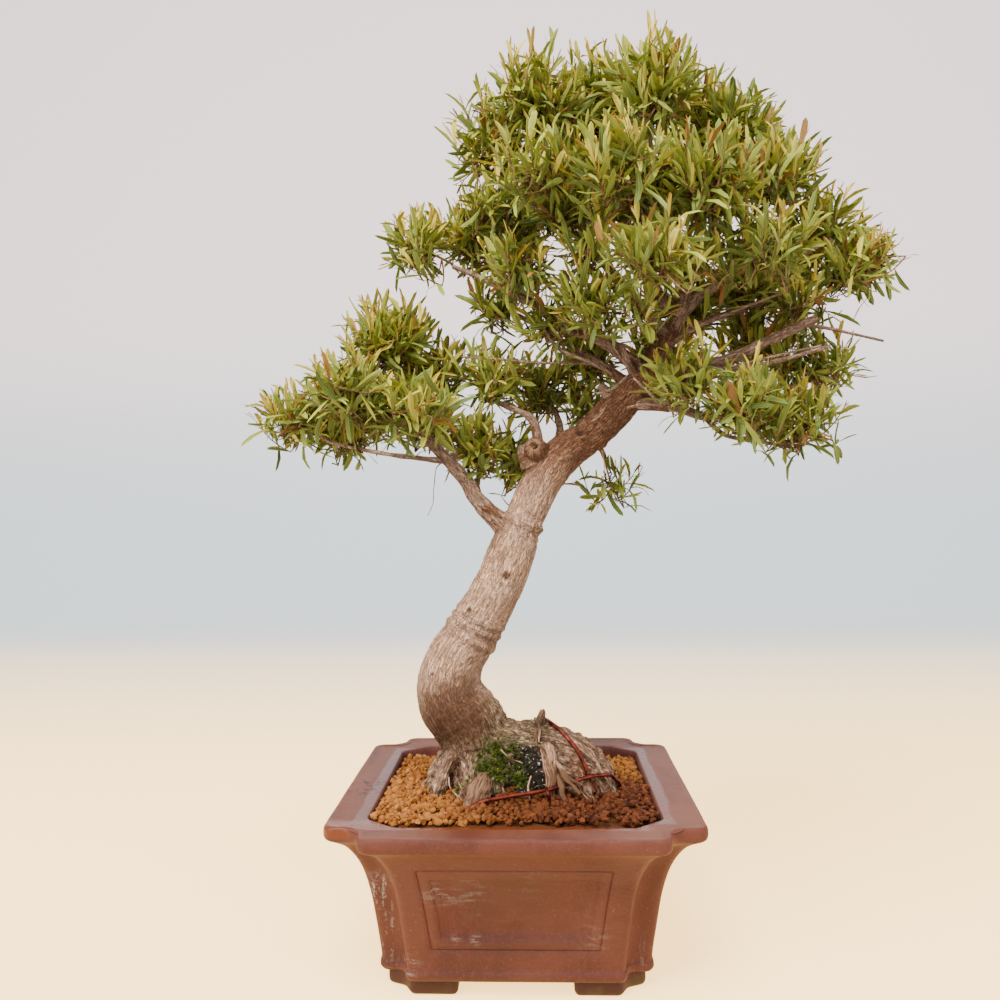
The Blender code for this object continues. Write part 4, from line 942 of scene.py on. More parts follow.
# %% Melt the thick wood together
COLLAR_RADIUS = 0.0040
ROOTLETS = metres([
    [(48, -22, 176, 4), (56, -33, 160, 6), (66, -40, 140, 6), (74, -45, 122, 4)],
    [(58, -18, 168, 4), (70, -27, 150, 6), (82, -30, 124, 5)],
    [(-50, -20, 178, 5), (-60, -30, 160, 7), (-74, -36, 124, 5)],
    [(-42, -28, 174, 5), (-40, -44, 154, 6), (-52, -56, 124, 4)],
    [(-20, -34, 170, 5), (-16, -48, 150, 6), (-12, -58, 124, 4)],
    [(60, 18, 166, 4), (72, 24, 150, 5), (80, 30, 126, 4)],
    [(-20, 24, 170, 4), (-24, 44, 152, 5), (-28, 56, 126, 4)],
])
STUB = metres([
    (27, 0, 430, 11), (22, -10, 436, 10.4), (19, -18.5, 439, 9.6), (18.4, -21.5, 440, 8),
])
REMESH = {"mode": "VOXEL", "voxel_size": 0.00162, "use_smooth_shade": True}
SOFTEN = {"factor": 0.5, "iterations": 3}


def thick_lines():
    """Trunk, roots and the first stretch of every thick limb."""
    lines = [TRUNK, STUB, *ROOTS.values(), *ROOTLETS]
    for line in LIMBS.values():
        if line[0][3] >= COLLAR_RADIUS:
            first, second = Vector(line[0]), Vector(line[1])
            lines.append([line[0], tuple(first.lerp(second, 0.5)), tuple(first.lerp(second, 0.9))])
    return lines


wood_lines = thick_lines()
wood_samples = line_samples(wood_lines)
trunk_mesh = with_modifiers(tubes(wood_lines, 6, 8), ("REMESH", REMESH), ("SMOOTH", SOFTEN))
print("thick wood of", len(trunk_mesh.polygons), "faces from", len(wood_lines), "lines")

# %% Carve the bark
RING_SCARS = metres([
    ((-39, -7, 272), 3.6, 1.5), ((8, -9, 372), 4.5, 2.6), ((-34, -8, 281), 2.6, 1.1),
    ((4, -9, 364), 2.5, 1), ((-30, -8, 288), 2.2, 0.9), ((-60, -3, 226), 3, 0.4),
    ((-47, -5, 200), 3, 0.6), ((30, -3, 417), 3, 0.5), ((72, -10, 456), 4, 1.6),
])
KNOTS = metres([
    ((-6, -32, 326), 5.5, 1.4), ((-40, -29, 297), 4, 1), ((18.4, -23, 440.5), 4.6, 2),
    ((60, -10, 452), 5, 1), ((-72, -26, 240), 3, 0.7),
])
HOLLOW = ((0.013, -0.050, 0.166), 0.017, 0.0075)
ROOT_LINE = 0.196
NECK_SLOPE = 0.7
NECK_X = -0.056
LUMP_PART = 0.055
FOLD_DEPTH = 0.00060
RIPPLE_DEPTH = 0.00055
RIB_DEPTH = 0.0014
ROOT_WAVES = ((75, 0.0030), (190, 0.0022))


def bark_lift(place, normal, grain, radius, scars):
    """How far a point of the bark stands out or in."""
    rootward = min(max((ROOT_LINE + (place.x - NECK_X) * NECK_SLOPE - place.z) / 0.03, 0), 1)
    folds = noise.noise(grain_point(grain, 330, 70))
    ripples = noise.noise(grain_point(grain, 650, 190) + normal)
    lumps = noise.noise(place * 42)
    lift = lumps * LUMP_PART * radius + folds * FOLD_DEPTH + ripples * RIPPLE_DEPTH
    rough = (ridges(grain, 80, 34) - 1.1) * RIB_DEPTH
    for scale, height in ROOT_WAVES:
        rough += noise.noise(place * scale) * height
    lift += rootward * rough
    for middle, along, width, height in scars:
        away = (place - middle).dot(along) / width
        lift += height * (math.exp(-away * away * 2) - 0.6 * math.exp(-(away + 1.7) ** 2 * 3))
    for middle, size, height in KNOTS:
        away = (place - Vector(middle)).length / size
        lift += height * (1.3 * math.exp(-(away - 1) ** 2 * 5) - 1.8 * math.exp(-away ** 2 * 4))
    away = (place - Vector(HOLLOW[0])).length / HOLLOW[1]
    return lift - HOLLOW[2] * math.exp(-away ** 4)


def carve(mesh, samples):
    """Move every point of the wood along its normal, and keep its grain."""
    grain, radii = grain_of(places_of(mesh), samples)
    scars = []
    for middle, width, height in RING_SCARS:
        nearest = samples[np.linalg.norm(samples[:, :3] - np.array(middle), axis=1).argmin()]
        scars.append((Vector(middle), Vector(nearest[4:7]), width, height))
    lifts = [bark_lift(vertex.co, vertex.normal, here, radius, scars)
             for vertex, here, radius in zip(mesh.vertices, grain, radii)]
    push_out(mesh, lifts)
    store(mesh, "grain", grain)
    print("bark moved by", round(min(lifts) * 1000, 2), "to", round(max(lifts) * 1000, 2), "mm")


carve(trunk_mesh, wood_samples)

# %% Bed the wires in the bark
WIRE_ROOM = 0.0008
WIRE_RADIUS = 0.00115
WIRE_BED = 0.0034
WIRE_REACH = 0.0080


def press_wires(mesh):
    """Press the bark down wherever it would cover a wire."""
    moved = 0
    normals = [vertex.normal.copy() for vertex in mesh.vertices]
    for node in ("wire_over", "wire_front"):
        bm = merged_copy(node)
        tree = BVHTree.FromBMesh(bm)
        bm.free()
        for vertex, outward in zip(mesh.vertices, normals):
            found, side, _, _ = tree.find_nearest(vertex.co, WIRE_REACH)
            if found is None:
                continue
            offset = vertex.co - found + side * WIRE_RADIUS
            rise = offset.dot(outward)
            beside = (offset - outward * rise).length / WIRE_BED
            if rise > -WIRE_ROOM and beside < 1:
                vertex.co -= outward * (rise + WIRE_ROOM) * (1 - beside ** 3)
                moved += 1
    print(moved, "points pressed under the wires")


press_wires(trunk_mesh)

# %% Make the limbs
def wooden_tubes(lines, steps, rings, height_of):
    """Tubes whose points stand out by a height, which a rule gives from grain and radius."""
    mesh = tubes(lines, steps, rings)
    grain, radii = grain_of(places_of(mesh), line_samples(lines))
    push_out(mesh, [height_of(here, radius) for here, radius in zip(grain, radii)])
    store(mesh, "grain", grain)
    return mesh, radii


def knuckle(grain, radius):
    """Slow waves, and a low ring wherever a leaf once grew."""
    wave = noise.noise(grain_point(grain, 90, 75)) * 0.22 * radius
    return wave + max(0, math.sin(grain[2] * 420)) ** 8 * 0.10 * radius


limb_mesh, _ = wooden_tubes(list(LIMBS.values()), 7, 3, knuckle)

# %% [markdown]
# Fig bark is smooth and pale where it is young skin and cracks into short flakes as it ages. The
# lower trunk is pinkish tan with fine wrinkles, its foot is olive and grey where it stays damp,
# and the upper trunk and the left limb are a redder brown. The stored grain stretches the noise
# along the wood, so the wrinkles follow every bend. Painted shade lies under the bend, in the
# hollow and between the roots, and in part on the foot, in the grooves and cracks and in the pith.

# %% Weave the bark's textures
BARK_MARKS = {
    # name: middle, reach and softness
    "low_scars": ((-0.036, -0.010, 0.278), 0.034, 0.7),
    "high_scar": ((0.008, -0.010, 0.368), 0.028, 0.7),
    "bend_folds": ((-0.052, -0.008, 0.198), 0.036, 0.7),
    "crease_shade_below_bend": ((-0.058, -0.010, 0.197), 0.040, 0.8),
    "shade_under_bend": ((-0.052, -0.034, 0.206), 0.044, 0.6),
    "hollow": (HOLLOW[0], HOLLOW[1] * 1.4, 0.3),
    "root_gap": ((0.016, -0.050, 0.150), 0.020, 0.3),
    "chalky_root": (HOLLOW[0], 0.036, 0.4),
    "rusty_root": ((0.068, -0.030, 0.160), 0.034, 0.7),
    "cut_face": ((0.0180, -0.0240, 0.4410), 0.0090, 0.4),
    "pith": ((0.0196, -0.0235, 0.4395), 0.0036, 0.4),
    "damp_root": ((-0.012, -0.046, 0.168), 0.034, 0.6),
}


def bark_textures(bark):
    """The noises and zones that bark is made of, by name."""
    x, _, z = bark.axes(bark.here)
    wrinkle = bark.fibre(0.45, 760, 5, 0.66)
    folds = bark.fibre(0.24, 190, 5, 0.62)
    patches = bark.cloud(bark.here, 34, 4, 0.6)
    crease = (folds - 0.5).size()
    bend = bark.node("ShaderNodeVectorMath", {"operation": "ADD"},
                     {0: bark.attribute("grain", (1, 1, 0.22)), 1: wrinkle * 0.0030})
    net = bark.cells(bend, 430, "DISTANCE_TO_EDGE")
    net_shown = bark.fade(bark.cloud(bark.here, 260, 3), 0.40, 0.56) * 0.8
    crack = bark.fade(crease + wrinkle * 0.02, 0.034, 0.016)
    crack = crack.larger(bark.fade(net, 0.15, 0.05) * net_shown)
    crack = crack.larger(bark.fade(bark.fibre(0.15, 430, 3, 0.6), 0.46, 0.39) * 0.8)
    left_limb = bark.fade(x, 0.000, -0.020) * bark.fade(z, 0.330, 0.372)
    return SimpleNamespace(
        z=z, wrinkle=wrinkle, folds=folds, patches=patches, crease=crease, net=net, crack=crack,
        flake=bark.cloud(bark.here, 900, 2, 0.6), fibres=bark.fibre(0.11, 330, 4, 0.6),
        slant=z - (x - NECK_X) * NECK_SLOPE,
        upper=bark.fade(z + patches * 0.03, 0.395, 0.455).larger(left_limb),
        foot=bark.fade(z + patches * 0.03, 0.262, 0.205),
        root=bark.fade(z - x.larger(0.0) * 0.35 + patches * 0.012, 0.186, 0.172),
        marks={name: bark.near(*spot) for name, spot in BARK_MARKS.items()})


# %% Age the bark
def age_bark(bark, look, young, old, redness):
    """Pale skin, rusty upper wood, an olive foot and weathered roots."""
    bark.base(bark.fade(look.wrinkle + look.folds * 0.3, 0.32, 0.86), old, young)
    bark.coat(bark.fade(look.patches, 0.42, 0.68) * 0.5, (248, 200, 172))
    rusty = bark.mix(bark.fade(look.wrinkle, 0.38, 0.60), (84, 48, 28), (154, 102, 68))
    bark.coat(redness, rusty)
    # The olive foot reaches up over the lower bulge: partly damp bark, partly painted shade on the
    # lower trunk.
    olive = bark.mix(bark.fade(look.wrinkle, 0.38, 0.62), (76, 56, 34), (168, 138, 96))
    bark.coat(look.foot * 0.75, olive)
    scaly = bark.mix(bark.fade(look.wrinkle, 0.40, 0.60), (66, 52, 32), (190, 166, 122))
    bark.coat(bark.fade(look.slant + look.patches * 0.02, 0.214, 0.196) * 0.6, scaly)
    weathered = bark.mix(bark.fade(look.fibres * 0.7 + look.wrinkle * 0.3, 0.40, 0.57),
                         (78, 48, 31), (238, 192, 154))
    bark.coat(look.root * 0.85, weathered)


def crack_bark(bark, look, rings, redness):
    """Dark grooves at the old scars and dark cracks everywhere, both partly painted shade in the
    folds, painted shade in the crease below the bend, and gnarls on the roots.
    """
    # The dark grooves of the ring scars lie over their own bump: partly darker bark, partly painted
    # shade in the folds.
    bark.coat((1 - rings) * 0.70, (86, 54, 36))
    # Painted shade in the crease below the bulge of the bend.
    bark.coat(look.marks["crease_shade_below_bend"] * bark.fade(look.z, 0.21, 0.20) * 0.5, (96, 62, 36))
    # Dark cracks: partly darker bark inside them, partly painted shade in the creases.
    bark.coat(look.crack * (0.62 + redness * 0.1 + look.foot * 0.1), (92, 50, 30))
    gnarl = bark.fade(bark.fibre(0.3, 190, 5, 0.7), 0.50, 0.38)
    bark.coat(gnarl * bark.fade(look.slant, 0.200, 0.180) * 0.65, (46, 32, 22))


# %% Mark the bark
def mark_bark(bark, look):
    """The marks of the tree's life, each at its own place, with painted shade under the bend, in the
    hollow and between the roots.
    """
    here, marks = bark.here, look.marks
    specks = bark.fade(bark.cells(here, 240), 0.16, 0.08) * bark.fade(look.flake, 0.4, 0.6)
    bark.coat(specks * 0.5, (66, 44, 32))
    for middle, size, _ in KNOTS:
        bark.coat(bark.near(middle, size * 0.9, 0.6) * 0.9, (60, 34, 20))
    # Painted shade inside the carved hollow and in the gap between the roots.
    hollow_and_gap_shade = marks["hollow"].larger(marks["root_gap"])
    bark.coat(hollow_and_gap_shade * bark.fade(look.flake + look.patches, 0.30, 0.55) * 0.93, (30, 20, 15))
    chalk = bark.fade(bark.cloud(here, 420, 2, 0.7), 0.60, 0.68)
    bark.coat(chalk * marks["chalky_root"], (226, 218, 204))
    # Painted shade under the bend of the trunk.
    bark.coat(marks["shade_under_bend"] * 0.80, (92, 54, 32))
    bark.coat(marks["rusty_root"] * bark.fade(look.patches, 0.42, 0.56) * 0.6, (138, 82, 50))
    bark.coat(marks["cut_face"] * bark.fade(look.flake, 0.35, 0.55), (198, 146, 102))
    # The pith at the stub's end sits in the dip carved by its knot: partly dark wood, partly painted
    # shade in the dip.
    bark.coat(marks["pith"], (46, 26, 16))
    green_film = marks["damp_root"] * bark.fade(bark.cloud(here, 120, 4), 0.40, 0.55)
    bark.coat(green_film * 0.85, (62, 74, 26))


# %% Finish the bark
def bark_finish(name, young, old, red):
    """Wrinkled bark that runs along the wood."""
    bark = Paint(name, Specular_IOR_Level=0.25)
    look = bark_textures(bark)
    redness = look.upper * red
    age_bark(bark, look, young, old, redness)
    zone = look.marks["low_scars"].larger(look.marks["high_scar"] * 0.8)
    zone = zone.larger(look.marks["bend_folds"] * 0.7)
    rings = bark.cloud(bark.attribute("grain", (0.16, 0.16, 1)), 330, 3, 0.6)
    rings = bark.fade((rings - 0.5).size(), 0.0, 0.07) * zone + (1 - zone)
    crack_bark(bark, look, rings, redness)
    mark_bark(bark, look)
    relief = None
    for height, depth in ((look.wrinkle, 0.0011), (bark.fade(look.crease, 0.0, 0.08), 0.0012),
                          (bark.fade(look.net, 0.0, 0.16), 0.0011), (rings, 0.0030),
                          (look.fibres * look.root, 0.0022), (look.flake, 0.0003)):
        relief = bark.bump(height, depth, relief)
    rough = 0.86 - redness * 0.08 + look.wrinkle * 0.06
    return bark.wear(Roughness=rough, Normal=relief)


trunk_bark = bark_finish("trunk_bark", (255, 206, 166), (216, 152, 108), 0.9)
limb_bark = bark_finish("limb_bark", (228, 188, 156), (142, 106, 82), 0.30)
trunk = finish_piece(trunk_mesh, "trunk_and_roots", "bark", trunk_bark, sharp=math.pi)
limbs = finish_piece(limb_mesh, "limbs", "bark", limb_bark, sharp=math.pi)
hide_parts("trunk")
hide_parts("trunk")

# %% [markdown]
# Bare branches show in the gaps between the pads. They are thin, crooked and paler than the
# limbs, and each is a tube along its own short line.

# %% Thread the fine branches
FINE_BRANCHES = metres([
    [(98, -46, 470, 1.3), (113, -52, 472, 1.5), (127, -50, 471, 1.5), (137, -48, 469, 1.3)],
    [(128, -50, 470, 1.2), (135, -51, 477, 1.3), (135, -52, 487, 1)],
    [(73, -34, 484, 1.1), (86, -36, 487, 1.3), (96, -30, 495, 1.4), (104, -20, 502, 1.4)],
    [(106, -30, 497, 1.2), (117, -40, 484, 1.2), (126, -47, 473, 1.2), (139, -46, 467, 1.2)],
    [(25, -16, 550, 1.2), (40, -18, 527, 1.6), (56, -16, 519, 1.8), (75, -6, 513, 2),
     (90, 4, 506, 2)],
    [(-45, -12, 521, 0.8), (-11, -14, 518, 1), (25, -10, 515, 1.1), (61, -2, 515, 1.2),
     (79, 4, 512, 1.2)],
    [(82, -30, 475, 0.6), (76, -33, 465, 0.6), (68, -34, 460, 0.5)],
    [(82, -20, 565, 1), (87, -22, 545, 1.2), (92, -16, 526, 1.5), (104, -4, 510, 1.6)],
    [(132, -30, 557, 0.9), (112, -26, 551, 1.1), (92, -22, 543, 1.2)],
    [(237, -20, 571, 0.9), (201, -22, 558, 1.2), (165, -16, 544, 1.5), (139, -4, 530, 1.6)],
    [(267, -30, 523, 0.9), (222, -34, 513, 1.2), (179, -26, 503, 1.4), (138, -10, 494, 1.6)],
    [(179, -40, 461, 1.2), (200, -44, 455, 1.1), (216, -46, 439, 1), (241, -46, 438, 0.8)],
    [(156, -30, 629, 1), (139, -34, 596, 1.2), (123, -26, 566, 1.4), (121, -10, 543, 1.6)],
    [(44, -10, 647, 1), (68, -14, 614, 1.2), (95, -12, 583, 1.4), (115, -4, 548, 1.6)],
])


def small_wave(grain, _):
    """A slight unevenness, the same on thick and thin wood."""
    return noise.noise(grain_point(grain, 300, 120)) * 0.0004


branch_mesh, _ = wooden_tubes(FINE_BRANCHES, 6, 2, small_wave)
pale_bark = bark_finish("pale_bark", (222, 182, 148), (150, 108, 80), 0.0)
finish_piece(branch_mesh, "fine_branches", "bark", pale_bark, sharp=math.pi)

# %% [markdown]
# Bonsai soil is fired clay sifted to grains of about 5 mm. Each grain here is one small ball of
# twenty faces, knocked out of round, and thousands of them lie at the height of the soil's own
# surface: close together in a jittered pattern, with a few loose ones on top. Under them lies the
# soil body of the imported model, lowered a little so that it only shows as shade between grains.

# %% Level of the soil
SOIL_LEVEL = 0.1335
SOIL_FALL = 0.030
MOUND_HEIGHT = 0.008
MOUND_SPREAD = 0.075
MOUND_CENTRE = (-0.005, -0.020)
FRONT_RISE = 0.0014
FRONT_START = -0.085
FRONT_RUN = 0.020
SOIL_HALF = 0.1158
GRAIN_PITCH = 0.0042
GRAIN_RADIUS = (0.0018, 0.0039)
GRAIN_SIZES = (0.7, 1.0, 1.0, 1.12)
BED_LIFT = (-0.0022, 0.0010)
LOOSE_LIFT = (0.0008, 0.0030)
LOOSE_PART = 0.42
SOIL_WAVE = 0.0022
BED_SCALE = 0.972
GRAIN_SHARP = math.radians(34)


def soil_height(x, y):
    """Level of the soil: a slope to the back, a mound round the trunk and a heaped front."""
    away = ((x - MOUND_CENTRE[0]) ** 2 + (y - MOUND_CENTRE[1]) ** 2) / MOUND_SPREAD ** 2
    front = min(max((FRONT_START - y) / FRONT_RUN, 0), 1)
    return SOIL_LEVEL - SOIL_FALL * y + MOUND_HEIGHT * math.exp(-away) + FRONT_RISE * front


def inside_pot(x, y, margin):
    """Whether a place is inside the pot's inner wall, with its stepped-in corners."""
    notch_x, notch_y = [side - (RIM_HALF - SOIL_HALF) * NOTCH_SHRINK for side in RIM_NOTCH]
    half = SOIL_HALF - margin
    cut = (abs(x) - half + notch_x) / notch_x + (abs(y) - half + notch_y) / notch_y
    return abs(x) < half and abs(y) < half and cut < 0.95


# %% Make the wood searchable
def tree_of(mesh):
    """A search tree over a mesh, measured from the middle of the pot."""
    bm = bmesh.new()
    bm.from_mesh(mesh)
    bmesh.ops.translate(bm, verts=bm.verts, vec=-POT_MIDDLE)
    tree = BVHTree.FromBMesh(bm)
    bm.free()
    return tree


trunk_tree = tree_of(trunk.data)
limb_tree = tree_of(limbs.data)
print("search trees of the trunk and the limbs")


# %% Shape the grains of soil
def grain_shapes(draw, count=14):
    """A few different grains, each a ball of twenty faces knocked out of round."""
    shapes = []
    for _ in range(count):
        bm = bmesh.new()
        bmesh.ops.create_icosphere(bm, subdivisions=1, radius=1.0)
        for vertex in bm.verts:
            vertex.co *= draw.uniform(0.66, 1.22)
        flat = (1.0, draw.uniform(0.75, 1.0), draw.uniform(0.65, 0.9))
        bmesh.ops.scale(bm, verts=bm.verts, vec=flat)
        shapes.append(mesh_of(bm))
    return shapes


def jitter(draw, size):
    """A small random vector."""
    return Vector([draw.uniform(-size, size) for _ in range(3)])


def any_turn(draw):
    """A rotation drawn evenly from all."""
    axis = Vector([draw.gauss(0, 1) for _ in range(3)]).normalized()
    return Matrix.Rotation(draw.uniform(0, 2 * math.pi), 4, axis)


def gather(placed):
    """Join placed copies of small shapes: (shape, matrix, stored vector) each."""
    bm = bmesh.new()
    stored = []
    for shape, matrix, values in placed:
        copy = shape.copy()
        copy.transform(matrix)
        bm.from_mesh(copy)
        stored += [values] * len(copy.vertices)
        bpy.data.meshes.remove(copy)
    return mesh_of(bm), stored


# %% Lay the grains
def lay_grains():
    """Every soil grain, each with its own lightness and size kept as a vector."""
    draw = random.Random(5)
    shapes = grain_shapes(draw)
    spots = []
    steps = int(SOIL_HALF / GRAIN_PITCH) + 1
    for column in range(-steps, steps + 1):
        for row in range(-steps, steps + 1):
            x = (column + 0.5 * (row % 2) + draw.uniform(-0.3, 0.3)) * GRAIN_PITCH
            y = (row * 0.9 + draw.uniform(-0.3, 0.3)) * GRAIN_PITCH
            spots.append((x, y, draw.uniform(*BED_LIFT)))
            if draw.random() < LOOSE_PART:
                x += draw.uniform(-0.4, 0.4) * GRAIN_PITCH
                y += draw.uniform(-0.4, 0.4) * GRAIN_PITCH
                spots.append((x, y, draw.uniform(*LOOSE_LIFT)))
    placed = []
    for x, y, lift in spots:
        radius = draw.uniform(*GRAIN_RADIUS) * draw.choice(GRAIN_SIZES)
        middle = Vector((x, y, soil_height(x, y) + lift))
        middle.z += noise.noise(Vector((x * 30, y * 30, 0))) * SOIL_WAVE
        if not inside_pot(x, y, radius * 0.6):
            continue
        found, normal, _, distance = trunk_tree.find_nearest(middle)
        if (middle - found).dot(normal) < 0 or distance < radius * 0.4:
            continue
        matrix = Matrix.Translation(middle) @ any_turn(draw) @ Matrix.Scale(radius, 4)
        placed.append((draw.choice(shapes), matrix, (draw.random(), draw.random(), radius * 300)))
    print(len(placed), "soil grains")
    mesh, stored = gather(placed)
    store(mesh, "grain", stored)
    return mesh


# %% Colour the soil
WET_PLACE = (-0.010, -0.075, 0.14)
akadama = Paint("akadama", Specular_IOR_Level=0.15)
soil_x, soil_y, _ = akadama.axes(akadama.here)
lightness, tint, _ = akadama.axes(akadama.attribute("grain"))
soil_cloud = akadama.cloud(akadama.here, 26, 4)
soil_dust = akadama.cloud(akadama.here, 800, 4, 0.7)
dry = akadama.mix(lightness, (128, 70, 27), (180, 118, 55))
dry = akadama.mix(akadama.fade(tint, 0.80, 1.0) * 0.6, dry, (186, 130, 76))
wet = akadama.mix(lightness, (60, 26, 11), (112, 58, 27))
wetness = akadama.fade(soil_x + soil_cloud * 0.10 + (lightness - 0.5) * 0.05, -0.010, 0.075)
wetness = wetness * akadama.fade(soil_y, 0.06, -0.02)
wetness = wetness.larger(akadama.near(WET_PLACE, 0.065, 0.9) * 0.85)
akadama.base(wetness, dry, wet)
akadama.coat(akadama.fade(soil_dust, 0.58, 0.78) * 0.5, (196, 138, 80))
akadama.coat(akadama.fade(soil_dust, 0.42, 0.25) * 0.5, (84, 44, 20))
akadama_grain = akadama.wear(Roughness=0.95 - wetness * 0.25,
                             Normal=akadama.bump(soil_dust, 0.0007))

# The dark bed under the grains is partly the finer soil and partly painted shade between the grains.
bed = Paint("soil_dust", Roughness=0.95, Specular_IOR_Level=0.1)
bed_cloud = bed.cloud(bed.here, 300, 4, 0.7)
bed.base(bed_cloud, (48, 26, 14), (104, 60, 30))
soil_bed_shade = bed.wear(Normal=bed.bump(bed_cloud, 0.0012))

bed_bm = merged_copy("soil")
bmesh.ops.scale(bed_bm, verts=bed_bm.verts, vec=(1, 1, BED_SCALE),
                space=Matrix.Translation((0, 0, -FLOOR_TOP)))
soil_bed = finish_piece(mesh_of(bed_bm), "soil_bed", "akadama", soil_bed_shade)
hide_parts("soil")
finish_piece(lay_grains(), "soil_grains", "akadama", akadama_grain, sharp=GRAIN_SHARP)

# %% [markdown]
# Two copper wires hold the young roots in the pot. Their CAD solids have few sides, so a merged
# copy of each is smoothed with a subdivision surface and swollen back to its true thickness. The
# annealed copper has gone a dull red-brown, with brighter metal where it was bent or rubbed. The
# mesh over the drainage hole keeps its CAD solid and gets the finish of moulded plastic.

# %% Draw the copper wires
copper = Paint("copper", Metallic=1.0)
copper_cloud = copper.cloud(copper.here, 130, 4, 0.6)
copper_scratch = copper.cloud(copper.place((1, 1, 4)), 700, 2)
copper.base(copper.fade(copper_cloud, 0.35, 0.65), (62, 22, 17), (126, 56, 44))
copper.coat(copper.fade(copper_scratch, 0.62, 0.72) * 0.5, (226, 160, 132))
copper_rough = 0.52 - copper.fade(copper_scratch, 0.5, 0.7) * 0.2 + copper_cloud * 0.1
copper_wire = copper.wear(Roughness=copper_rough, Normal=copper.bump(copper_scratch, 0.0001))

WIRE_SWELL = 0.00080
WIRE_END = metres([
    [(25.5, -64, 152, 1.5), (26.6, -68, 150.5, 1.6), (27.6, -69.5, 148, 1.6),
     (28.4, -69, 140, 1.5)],
])
finish_piece(tubes(WIRE_END, 6, 4), "copper_wire_end", "copper", copper_wire, sharp=math.pi)

for wire_node in ("wire_over", "wire_front"):
    round_wire = with_modifiers(
        mesh_of(merged_copy(wire_node)),
        ("SUBSURF", {"levels": 2, "render_levels": 2}),
        ("DISPLACE", {"strength": WIRE_SWELL, "mid_level": 0.0}))
    wire = finish_piece(round_wire, "copper_" + wire_node, "copper", copper_wire, sharp=math.pi)
    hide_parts(wire_node)

# %% Colour the drain screen
plastic = Paint("screen_plastic", Specular_IOR_Level=0.4)
plastic_cloud = plastic.cloud(plastic.here, 260, 3)
plastic.base(plastic_cloud, (22, 22, 22), (44, 42, 40))
screen_plastic = plastic.wear(Roughness=0.5 + plastic_cloud * 0.2,
                              Normal=plastic.bump(plastic_cloud, 0.0002))
drain_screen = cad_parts["drain_screen"]
drain_screen.data.materials.clear()
drain_screen.data.materials.append(screen_plastic)
print("drain screen of", len(drain_screen.data.polygons), "faces")

# %% [markdown]
# Moss grows where the foot of the trunk stays damp. It is a cushion of upright shoots a few
# millimetres tall, so each shoot is a three-sided spike that stands on the bark, leaning its own
# way. Bare roots, dead wood and a thin hanging root are tubes along short lines.

# %% Grow the moss
MOSS_SPOTS = [((-0.014, -0.048, 0.171), 0.0195, 2300), ((0.001, -0.052, 0.158), 0.010, 420),
              ((-0.034, -0.054, 0.150), 0.008, 120), ((-0.052, -0.050, 0.146), 0.007, 60),
              ((0.012, -0.050, 0.178), 0.007, 120), ((0.024, -0.052, 0.146), 0.010, 120)]
MOSS_HEIGHT = (0.0020, 0.0046)
MOSS_SWELL = 2.6
MOSS_LEAN = Vector((0, -0.1, 0.5))


def moss_shape():
    """One moss shoot: a slender spike with a wider middle."""
    bm = bmesh.new()
    bmesh.ops.create_cone(bm, cap_ends=True, segments=3, radius1=0.10, radius2=0.0, depth=1.0,
                          matrix=Matrix.Translation((0, 0, 0.5)))
    cut = bmesh.ops.bisect_plane(bm, geom=bm.verts[:] + bm.edges[:] + bm.faces[:],
                                 plane_co=(0, 0, 0.45), plane_no=(0, 0, 1))["geom_cut"]
    bmesh.ops.scale(bm, verts=new_points(cut), vec=(MOSS_SWELL, MOSS_SWELL, 1))
    return mesh_of(bm)


def grow_moss():
    """Every moss shoot, standing on the bark and leaning its own way up."""
    draw = random.Random(9)
    shape = moss_shape()
    placed = []
    for middle, reach, count in MOSS_SPOTS:
        for _ in range(count):
            offset = Vector([draw.gauss(0, 0.45) for _ in range(3)]) * reach
            found, normal, _, _ = trunk_tree.find_nearest(Vector(middle) + offset)
            if noise.noise(found * 160) < -0.25 or (found - Vector(middle)).length > reach * 1.25:
                continue
            up = (normal + jitter(draw, 0.6) + MOSS_LEAN).normalized()
            height = draw.uniform(*MOSS_HEIGHT)
            matrix = (Matrix.Translation(found - normal * 0.0003)
                      @ up.to_track_quat("Z", "Y").to_matrix().to_4x4() @ Matrix.Scale(height, 4))
            placed.append((shape, matrix, (draw.random(), draw.random(), 0)))
    print(len(placed), "moss shoots")
    mesh, stored = gather(placed)
    store(mesh, "grain", stored)
    return mesh


green = Paint("moss", Roughness=0.85, Specular_IOR_Level=0.2)
moss_light, moss_tint, _ = green.axes(green.attribute("grain"))
moss_cloud = green.cloud(green.here, 90, 3)
green.base(moss_light, (34, 46, 10), (84, 100, 26))
green.coat(green.fade(moss_cloud + moss_tint * 0.3, 0.68, 0.86), (136, 138, 46))
finish_piece(grow_moss(), "moss", "leaf", green.wear())

